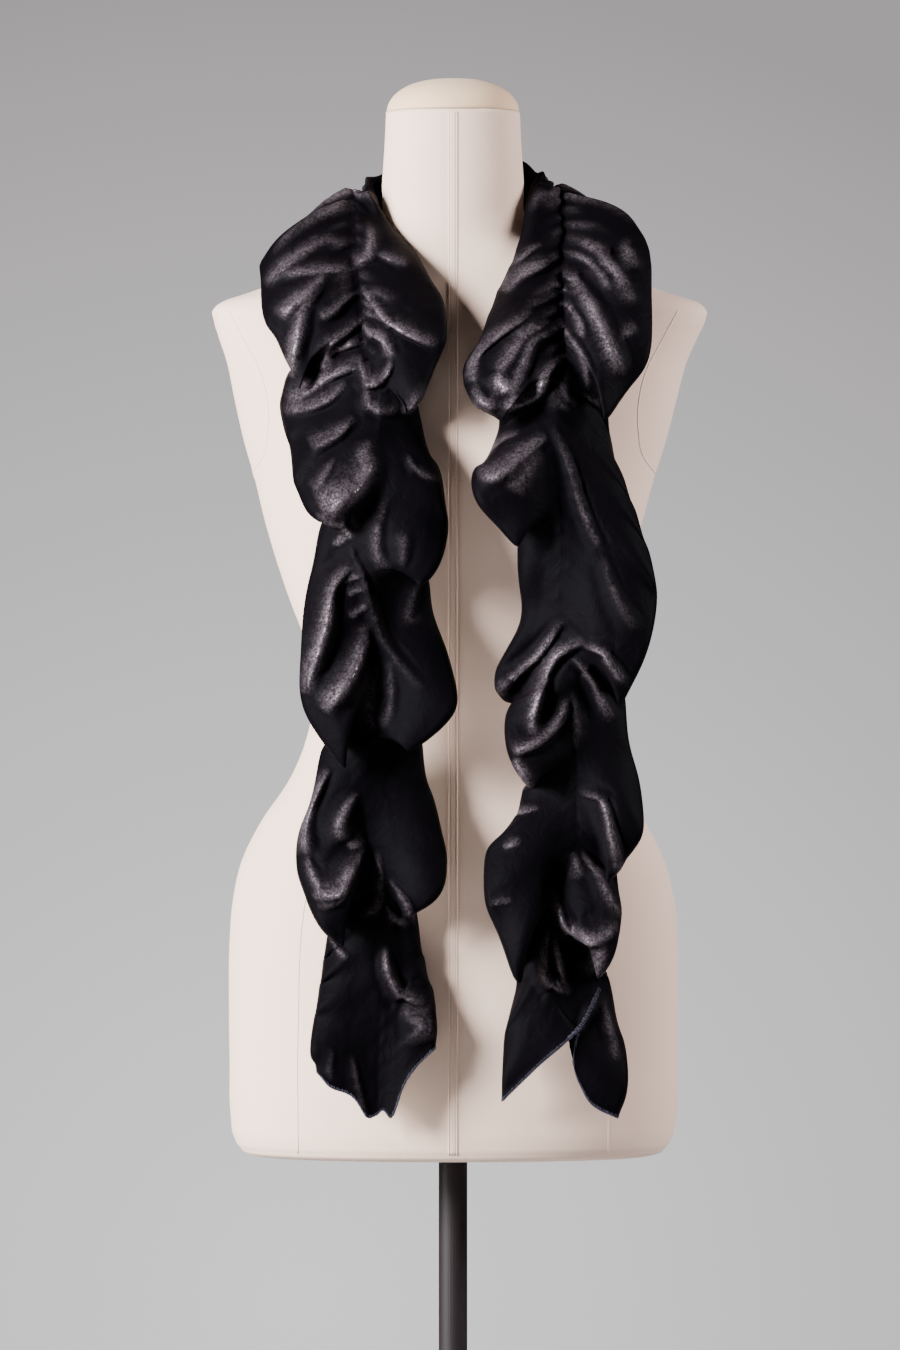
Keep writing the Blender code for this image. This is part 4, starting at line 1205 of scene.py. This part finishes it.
def stitch_tree():
    """Loops of thread wrapped over an edge line, evenly spaced with a little unevenness."""
    lengths = (("Spacing", 0.001), ("Reach", 0.002), ("Depth", 0.001), ("Thread Radius", 0.0002))
    tree = new_group("overcast_stitches", "GeometryNodeTree", (
        ("Geometry", "Geometry"),
        *((name, "Float", value, 0.0, 0.1) for name, value in lengths),
        ("Slant", "Float", 0.3, 0.0, 1.5),
        ("Seed", "Int", 7, 0, 1000),
        ("Material", "Material"),
    ), (("Geometry", "Geometry"),))
    for item in tree.interface.items_tree:
        if item.name in dict(lengths):
            item.subtype = "DISTANCE"
    named = {"data_type": "FLOAT_VECTOR"}
    wire(
        tree, """
        start.Geometry > line.Mesh, line.Curve > spaced.Curve, start.Spacing > spaced.Length
        ring.Curve > oval.Geometry, start.Reach > size.X, start.Depth > size.Y, size.Vector > oval.Scale
        start.Thread Radius > strand.Radius, oval.Geometry > loop.Curve, strand.Curve > loop.Profile Curve
        inward.Attribute > axes.Primary Axis, facing.Attribute > axes.Secondary Axis
        spaced.Curve > placed.Points, loop.Mesh > placed.Instance, axes.Rotation > placed.Rotation
        start.Reach > half.0, half.Value > offset.X
        placed.Instances > shift.Instances, offset.Vector > shift.Translation
        start.Slant > low.0, start.Seed > chance.Seed, start.Seed > stretch.Seed
        low.Value > chance.2, start.Slant > chance.3, chance.1 > angle.Y
        shift.Instances > turned.Instances, angle.Vector > turned.Rotation
        turned.Instances > scaled.Instances, stretch.1 > scaled.Scale
        scaled.Instances > whole.Geometry, whole.Geometry > painted.Geometry
        start.Material > painted.Material, painted.Geometry > end.Geometry
        """,
        line=node(tree, "GeometryNodeMeshToCurve"),
        spaced=node(tree, "GeometryNodeResampleCurve", mode="LENGTH"),
        ring=node(tree, "GeometryNodeCurvePrimitiveCircle", mode="RADIUS", Resolution=10, Radius=1.0),
        oval=node(tree, "GeometryNodeTransform"),
        size=node(tree, "ShaderNodeCombineXYZ", Z=1.0),
        strand=node(tree, "GeometryNodeCurvePrimitiveCircle", mode="RADIUS", Resolution=4),
        loop=node(tree, "GeometryNodeCurveToMesh"),
        inward=node(tree, "GeometryNodeInputNamedAttribute", Name="inward", **named),
        facing=node(tree, "GeometryNodeInputNamedAttribute", Name="facing", **named),
        axes=node(tree, "FunctionNodeAxesToRotation", primary_axis="X", secondary_axis="Y"),
        placed=node(tree, "GeometryNodeInstanceOnPoints"),
        shift=node(tree, "GeometryNodeTranslateInstances"),
        half=math_node(tree, "MULTIPLY", {1: 0.6}),
        offset=node(tree, "ShaderNodeCombineXYZ"),
        low=math_node(tree, "MULTIPLY", {1: -1.0}),
        chance=node(tree, "FunctionNodeRandomValue", data_type="FLOAT"),
        angle=node(tree, "ShaderNodeCombineXYZ"),
        turned=node(tree, "GeometryNodeRotateInstances"),
        stretch=node(tree, "FunctionNodeRandomValue", {2: 0.75, 3: 1.15}, data_type="FLOAT"),
        scaled=node(tree, "GeometryNodeScaleInstances"),
        whole=node(tree, "GeometryNodeRealizeInstances"),
        painted=node(tree, "GeometryNodeSetMaterial"),
    )
    return tree


def overcast(name, points, inward, facing, material, settings):
    """Overcast stitches over one raw edge, as a plain mesh object; points are millimetres."""
    mesh = bpy.data.meshes.new(name)
    edges = [(k, k + 1) for k in range(len(points) - 1)]
    mesh.from_pydata([tuple(p) for p in points * MM], edges, [])
    for label, rows in (("inward", inward), ("facing", facing)):
        mesh.attributes.new(label, "FLOAT_VECTOR", "POINT").data.foreach_set(
            "vector", np.asarray(rows, np.float32).reshape(-1)
        )
    line = new_object(name + "_line", mesh)
    tree = bpy.data.node_groups.get("overcast_stitches") or stitch_tree()
    maker = line.modifiers.new("stitches", "NODES")
    maker.node_group = tree
    values = {
        "Spacing": settings.stitch_spacing * MM, "Reach": settings.stitch_reach * MM,
        "Depth": settings.wall * MM / 2 + LOOP_SLACK, "Thread Radius": settings.thread_radius * MM,
        "Material": material,
    }
    for item in tree.interface.items_tree:
        if item.item_type == "SOCKET" and item.in_out == "INPUT" and item.name in values:
            maker[item.identifier] = values[item.name]
    line.update_tag()
    plain = plain_mesh(line)
    if not plain.polygons:
        raise RuntimeError(f"{name}: no stitches were made")
    obj = new_object(name, plain)
    outward(obj)
    return obj


def groups():
    """The shader node groups that several materials share, built once."""
    makers = {
        "shade": ("uneven_shade", mottle_group), "nap": ("nap_painted_sheen", pile_group),
        "knit": ("jersey_knit", weave_group),
    }
    return {key: bpy.data.node_groups.get(name) or build() for key, (name, build) in makers.items()}


def dress(obj, material):
    """Gives a piece its material and its body."""
    obj.data.materials.clear()
    obj.data.materials.append(material)
    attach(obj, BODY)


# Operators
def colour_setting(name, description, default, most=1.0):
    """A colour of a panel."""
    return FloatVectorProperty(
        name=name, description=description, subtype="COLOR", size=3, min=0.0, max=most, default=default,
    )


def number_setting(name, description, default, least, most, unit="NONE"):
    """A number of a panel with its limits; unit LENGTH is metres."""
    return FloatProperty(
        name=name, description=description, default=default, min=least, max=most, unit=unit,
    )


class FormSettings(bpy.types.PropertyGroup):
    cover_colour: colour_setting("Cover colour", "Colour of the form's jersey cover", (0.92, 0.66, 0.51))
    cap_colour: colour_setting("Cap colour", "Colour of the neck cap's cloth", (0.84, 0.57, 0.35))
    seam_width: number_setting(
        "Seam width", "Width of a raised seam of the cover, in millimetres", 1.6, 0.5, 5.0
    )
    strip_width: number_setting(
        "Front strip width", "Width of the strip down the middle front, in millimetres", 6.2, 2.0, 15.0
    )


class StandSettings(bpy.types.PropertyGroup):
    paint_colour: colour_setting(
        "Paint colour", "Colour of the painted pole and base", (0.010, 0.0065, 0.0065)
    )


class ScarfSettings(bpy.types.PropertyGroup):
    velvet_colour: colour_setting(
        "Velvet colour", "Colour of the pile under its lustre", (0.0013, 0.0010, 0.0014)
    )
    # Colour of the sheen painted along the velvet's crests.
    painted_sheen_colour: colour_setting(
        "Lustre colour", "Colour of the shine along the crests", (0.165, 0.130, 0.143)
    )
    thread_colour: colour_setting(
        "Overcast colour", "Colour of the thread over the raw ends", (0.085, 0.08, 0.125)
    )
    stitch_spacing: number_setting(
        "Stitch spacing", "Distance between overcast stitches, in millimetres", 1.3, 0.3, 5.0
    )
    stitch_reach: number_setting(
        "Stitch reach", "Half the length of an overcast loop across the edge, in millimetres",
        1.6, 0.5, 5.0,
    )
    thread_radius: number_setting(
        "Thread radius", "Radius of the overcast thread, in millimetres", 0.15, 0.05, 1.0
    )
    wall: number_setting("Cloth thickness", "Thickness of the velvet, in millimetres", WALL, 0.5, 3.0)
    section_step: number_setting(
        "Section step", "Distance between sections of the cloth, in millimetres", SECTION_STEP, 1.0, 12.0
    )


class StageSettings(bpy.types.PropertyGroup):
    camera_distance: number_setting(
        "Camera distance", "Distance from the camera to the form's axis", 6.0, 1.0, 20.0, "LENGTH"
    )
    view_height: number_setting(
        "View height", "Height that the picture takes in at the form's axis", 1.0395, 0.2, 4.0, "LENGTH"
    )
    key_power: number_setting(
        "Key light", "Power of the soft light from the upper left", 440.0, 0.0, 2000.0
    )
    fill_power: number_setting(
        "Fill light", "Power of the weak light from the right", 80.0, 0.0, 2000.0
    )
    room_colour: colour_setting(
        "Room light", "Light that reaches the object from all round", (0.006, 0.004, 0.003), 2.0
    )
    floor_side: number_setting(
        "Floor side", "Length of a side of the square floor", 5.8, 1.0, 20.0, "LENGTH"
    )
    floor_colour: colour_setting("Floor colour", "Colour of the floor", (0.38, 0.38, 0.385))


# Camera, backdrop and lights
SENSOR_HEIGHT = 36.0
CAMERA_ACROSS = -0.0023
CAMERA_HEIGHT = 1.1196
FAR_LIMIT = 60.0
FLOOR_DROP = -0.5
# The backdrop is painted with a pool of light: brightest round a point in its middle, darker towards its
# edges.
BACKDROP_POOL_CENTRE = (-0.0193, 1.0, -0.0802)
BACKDROP_REACH = 0.172
BACKDROP_MIDDLE = (1.08, 1.08, 1.10, 1.0)
BACKDROP_EDGE = (0.42, 0.390, 0.400, 1.0)
Light = namedtuple("Light", "name place aim size setting share colour")
LIGHTS = (
    Light("key_light", (-2.62, -2.02, 2.1), (0.0, 0.0, 1.2), 1.3, "key_power", 1.0, (0.95, 0.99, 1.05)),
    Light("fill_light", (2.2, -0.12, 2.15), (0.0, 0.0, 1.2), 1.1, "fill_power", 1.0, (1.0, 0.98, 1.04)),
    Light("left_light", (-2.4, -0.9, 1.3), (0.0, 0.0, 1.15), 1.2, "fill_power", 0.95, (1.0, 0.98, 0.96)),
)


def area_light(light, power):
    """A soft round light that points at a place."""
    data = bpy.data.lights.new(light.name, "AREA")
    data.shape = "DISK"
    data.size = light.size
    data.energy = power
    data.color = light.colour
    obj = new_object(light.name, data)
    obj.location = light.place
    obj.rotation_euler = (Vector(light.aim) - Vector(light.place)).to_track_quat("-Z", "Y").to_euler()


def backdrop(room_colour):
    """A world that is a grey backdrop with a pool of light painted in its middle to the eye, and dim to
    the object.
    """
    world = bpy.data.worlds.new("grey_studio")
    world.use_nodes = True
    tree = world.node_tree
    wire(
        tree, """
        place.Generated > away.0, away.Value > ramp.Value, ramp.Result > mix.Factor
        seen.Is Camera Ray > room.Factor, mix.2 > room.7, room.2 > ground.Color
        """,
        away=node(tree, "ShaderNodeVectorMath", {1: BACKDROP_POOL_CENTRE}, operation="DISTANCE"),
        ramp=node(tree, "ShaderNodeMapRange", From_Max=BACKDROP_REACH),
        mix=colour_mix(tree, {6: BACKDROP_MIDDLE, 7: BACKDROP_EDGE}),
        room=colour_mix(tree, {6: (*room_colour, 1.0)}),
        seen=node(tree, "ShaderNodeLightPath"),
        ground=tree.nodes["Background"],
    )
    return world


class VELVET_OT_stage(bpy.types.Operator):
    """Sets up the camera, the soft lights, the grey backdrop and the floor"""

    bl_idname = "velvet.stage"
    bl_label = "Camera, lights and floor"

    def execute(self, context):
        settings = context.scene.velvet_stage
        data = bpy.data.cameras.new("camera")
        data.sensor_fit = "VERTICAL"
        data.sensor_height = SENSOR_HEIGHT
        data.lens = data.sensor_height * settings.camera_distance / settings.view_height
        data.clip_end = FAR_LIMIT
        camera = new_object("camera", data)
        camera.location = (CAMERA_ACROSS, -settings.camera_distance, CAMERA_HEIGHT)
        camera.rotation_euler = (math.pi / 2, 0.0, 0.0)
        context.scene.camera = camera
        for light in LIGHTS:
            area_light(light, getattr(settings, light.setting) * light.share)
        context.scene.world = backdrop(tuple(settings.room_colour))
        side = settings.floor_side / 2 / MM
        corners = [(x * side, y * side, FLOOR_DROP) for x, y in ((-1, -1), (1, -1), (1, 1), (-1, 1))]
        floor = smooth_object("floor", corners, [(0, 1, 2, 3)])
        floor.data.materials.append(floor_material("floor_paper", tuple(settings.floor_colour)))
        return {"FINISHED"}


class VELVET_OT_torso(bpy.types.Operator):
    """Makes the padded torso and neck as one smooth body with the pole's socket under it"""

    bl_idname = "velvet.torso"
    bl_label = "Torso and neck"

    def execute(self, context):
        settings = context.scene.velvet_form
        rings = [
            round_ring(POLE_RADIUS + SLIDE_GAP, z, FORM_SEGMENTS)
            for z in (FORM_BOTTOM + SOCKET_DEPTH, FORM_BOTTOM)
        ]
        for low, high, count in FORM_LEVELS:
            rings += [form_ring(z, FORM_SEGMENTS) for z in np.linspace(low, high, count)]
        torso = loft("form_torso_cover", rings)
        dress(torso, cover_cloth("form_jersey", tuple(settings.cover_colour)))
        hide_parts("dress_form_torso")
        return {"FINISHED"}


class VELVET_OT_cap(bpy.types.Operator):
    """Makes the domed neck cap with its rolled lower edge"""

    bl_idname = "velvet.cap"
    bl_label = "Neck cap"

    def execute(self, context):
        settings = context.scene.velvet_form
        profile = [(CAP_RADIUS - inset, CAP_SEAM + rise) for inset, rise in CAP_ROLL]
        for angle in np.linspace(*CAP_ARC) * math.pi / 2:
            rise = (CAP_TOP - CAP_SEAM) * math.sin(angle)
            profile.append((CAP_RADIUS * math.cos(angle) ** CAP_ROUNDNESS, CAP_SEAM + rise))
        rings = [round_ring(radius, z, CAP_SEGMENTS, NECK_CENTRE_Y) for radius, z in profile]
        cap = loft("form_neck_cap_cover", rings)
        dress(cap, cover_cloth("cap_jersey", tuple(settings.cap_colour)))
        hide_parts("dress_form_neck_cap")
        return {"FINISHED"}


# Seams of the cover on one side: height, and place across
PRINCESS = (
    (756, 118), (850, 118), (950, 112), (1040, 84), (1105, 68), (1180, 72), (1262, 80), (1340, 84),
    (1400, 88), (1418, 90),
)
ARMHOLE = (
    (1398, 172), (1374, 159), (1354, 148.5), (1330, 142), (1305, 141.5), (1284, 147), (1274, 156),
)


def seam_path(points, count):
    """Even heights along a seam of height and across pairs, and the place across at each."""
    heights, across = np.array(points, float).T
    up = np.linspace(heights[0], heights[-1], count)
    run = np.sign(heights[-1] - heights[0])
    return up, Curve(run * heights, across[:, None])(run * up)[:, 0]


class VELVET_OT_seams(bpy.types.Operator):
    """Lays the cover's seams, the strip down the front and the cap's cord on the form"""

    bl_idname = "velvet.seams"
    bl_label = "Cover seams"

    def execute(self, context):
        settings = context.scene.velvet_form
        heights = np.linspace(*SEAM_SPAN)
        middle = np.zeros(len(heights))
        strips = [tape("front_strip", skin(middle, heights, -1), settings.strip_width, STRIP_RISE)]
        for offset in (-0.5, 0.5):
            line = skin(middle + offset * settings.strip_width, heights, -1)
            strips.append(tape("strip_edge", line, STRIP_EDGE_WIDTH, STRIP_EDGE_RISE))
        strips.append(tape("back_seam", skin(middle, heights, 1), settings.seam_width, BACK_RISE))
        up, across = seam_path(PRINCESS, PRINCESS_POINTS)
        for side in (-1, 1):
            for face in (-1, 1):
                line = skin(side * across, up, face)
                strips.append(tape("princess_seam", line, settings.seam_width, PRINCESS_RISE))
        down, across = seam_path(ARMHOLE, ARM_POINTS)
        for side in (-1, 1):
            front, back = (skin(side * across, down, face) for face in (-1, 1))
            loop = np.vstack([front, back[::-1]])
            loop = through(loop)
            loop = loop(np.linspace(0.0, loop.t[-1], ARM_LOOP_POINTS))
            strips.append(tape("arm_seam", loop, settings.seam_width, ARM_RISE))
        seams = joined("form_seams", strips)
        pale = tuple(SEAM_SHADE * c for c in settings.cover_colour)
        dress(seams, cover_cloth("seam_jersey", pale))

        curve = bpy.data.curves.new("cap_cord_line", "CURVE")
        curve.dimensions = "3D"
        ring = round_ring(CAP_RADIUS + CORD_OUT, CAP_SEAM - CORD_DROP, CORD_POINTS, NECK_CENTRE_Y)
        spline = curve.splines.new("POLY")
        spline.points.add(len(ring) - 1)
        for point, place in zip(spline.points, ring * MM):
            point.co = (*place, 1.0)
        spline.use_cyclic_u = True
        curve.bevel_depth = CORD_RADIUS
        curve.bevel_resolution = 2
        cord = new_object("form_cap_cord", plain_mesh(new_object("cap_cord_line", curve)))
        dress(cord, cover_cloth("cord_jersey", CORD_COLOUR))
        return {"FINISHED"}


class VELVET_OT_stand(bpy.types.Operator):
    """Paints the pole and the base"""

    bl_idname = "velvet.stand"
    bl_label = "Pole and base"

    def execute(self, context):
        material = paint("stand_paint", tuple(context.scene.velvet_stand.paint_colour))
        for name in ("stand_pole", "stand_base"):
            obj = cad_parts[name]
            obj.data.materials.clear()
            obj.data.materials.append(material)
        return {"FINISHED"}


STRETCHES = (
    ("scarf_left_velvet", "scarf_left_tail", "velvet_left"),
    ("scarf_neck_velvet", "scarf_neck_stretch", "velvet_neck"),
    ("scarf_right_velvet", "scarf_right_tail", "velvet_right"),
)


class VELVET_OT_scarf(bpy.types.Operator):
    """Makes the gathered velvet: both tails and the stretch round the neck"""

    bl_idname = "velvet.scarf"
    bl_label = "Velvet scarf"

    def execute(self, context):
        settings = context.scene.velvet_scarf
        colours = tuple(settings.velvet_colour), tuple(settings.painted_sheen_colour)
        scarf = Scarf()
        shares = np.linspace(0.0, 1.0, HALF_COLUMNS + 1) ** COLUMN_CROWDING
        gap = SEAM_GAP / 2
        spans = (
            (-scarf.lengths["left"], -LEFT_SEAM - gap),
            (-LEFT_SEAM + gap, RIGHT_SEAM - gap),
            (RIGHT_SEAM + gap, scarf.lengths["right"]),
        )
        for (name, replaced, slot), (start, end) in zip(STRETCHES, spans):
            places = scarf.sections(start, end, settings.section_step)
            halves = zip(scarf.ribs("outer", places, shares), scarf.ribs("inner", places, shares))
            grid, shine = (np.concatenate([o[:, ::-1], i[:, 1:]], axis=1) for o, i in halves)
            clearance = SEAT_CLEARANCE + settings.wall / 2
            grid = rest_on_form(grid.reshape(-1, 3), clearance).reshape(grid.shape)
            piece = walled(name, grid, settings.wall)
            # Painted sheen: each point's share of it, the same on both walls of the cloth.
            painted_lustre = piece.data.attributes.new("painted_lustre", "FLOAT", "POINT")
            painted_lustre.data.foreach_set("value", np.tile(shine.reshape(-1), 2).astype(np.float32))
            dress(piece, velvet(name, *colours))
            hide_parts(replaced)
            sewn = self.stitches(name, grid, piece, slot, settings)
        return {"FINISHED"}

    def stitches(self, name, grid, piece, slot, settings):
        """Overcast thread along the raw end of a tail, and along the lapped edge of the right one."""
        if "neck" in name:
            return []
        last, inside = (0, 3) if "left" in name else (-1, -4)
        thread = bpy.data.materials.get("overcast_thread") or thread_material(
            "overcast_thread", tuple(settings.thread_colour)
        )
        end = grid[last]
        inward = unit(grid[inside] - end)
        facing = unit(np.cross(np.gradient(end, axis=0), inward))
        facing *= np.sign(-facing[:, 1:2])
        sewn = [overcast(f"{name}_end_stitches", end, inward, facing, thread, settings)]
        if "right" in name:
            tree = BVHTree.FromPolygons(
                [v.co for v in piece.data.vertices], [tuple(p.vertices) for p in piece.data.polygons]
            )
            starts = [Vector((x * MM, -1.0, z * MM)) for x, z in fold_path(LAP, LAP_STOPS)]
            hits = [tree.ray_cast(start, Vector((0.0, 1.0, 0.0))) for start in starts]
            hits = [hit for hit in hits if hit[0] is not None]
            line = np.array([hit[0] for hit in hits]) / MM
            facing = np.array([hit[1] for hit in hits])
            inward = unit(np.cross(facing, unit(np.gradient(line, axis=0))))
            inward *= np.sign(-inward[:, :1])
            sewn.append(overcast(f"{name}_lap_stitches", line, inward, facing, thread, settings))
        for obj in sewn:
            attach(obj, BODY)
        return sewn


class VELVET_PT_panel(bpy.types.Panel):
    """Lists the makers of the scarf, the form, the stand and the stage"""

    bl_idname = "VELVET_PT_panel"
    bl_label = "Velvet scarf"
    bl_space_type = "VIEW_3D"
    bl_region_type = "UI"
    bl_category = "Velvet scarf"

    def draw(self, context):
        for maker in MAKERS:
            self.layout.operator(maker.bl_idname)
        for name, _ in SETTINGS:
            group = getattr(context.scene, name)
            box = self.layout.box()
            for label in group.bl_rna.properties.keys():
                if label not in ("rna_type", "name"):
                    box.prop(group, label)


MAKERS = (
    VELVET_OT_stage, VELVET_OT_torso, VELVET_OT_cap, VELVET_OT_seams, VELVET_OT_stand, VELVET_OT_scarf,
)
SETTINGS = (
    ("velvet_form", FormSettings), ("velvet_stand", StandSettings), ("velvet_scarf", ScarfSettings),
    ("velvet_stage", StageSettings),
)


def register():
    for _, group in SETTINGS:
        bpy.utils.register_class(group)
    for name, group in SETTINGS:
        setattr(bpy.types.Scene, name, PointerProperty(type=group))
    for maker in MAKERS:
        bpy.utils.register_class(maker)
    bpy.utils.register_class(VELVET_PT_panel)


def unregister():
    bpy.utils.unregister_class(VELVET_PT_panel)
    for maker in reversed(MAKERS):
        bpy.utils.unregister_class(maker)
    for name, group in reversed(SETTINGS):
        delattr(bpy.types.Scene, name)
        bpy.utils.unregister_class(group)


def main():
    """Makes every piece in order."""
    register()
    for make in (
        bpy.ops.velvet.stage, bpy.ops.velvet.torso, bpy.ops.velvet.cap, bpy.ops.velvet.seams,
        bpy.ops.velvet.stand, bpy.ops.velvet.scarf,
    ):
        make()


if __name__ == "__main__":
    main()
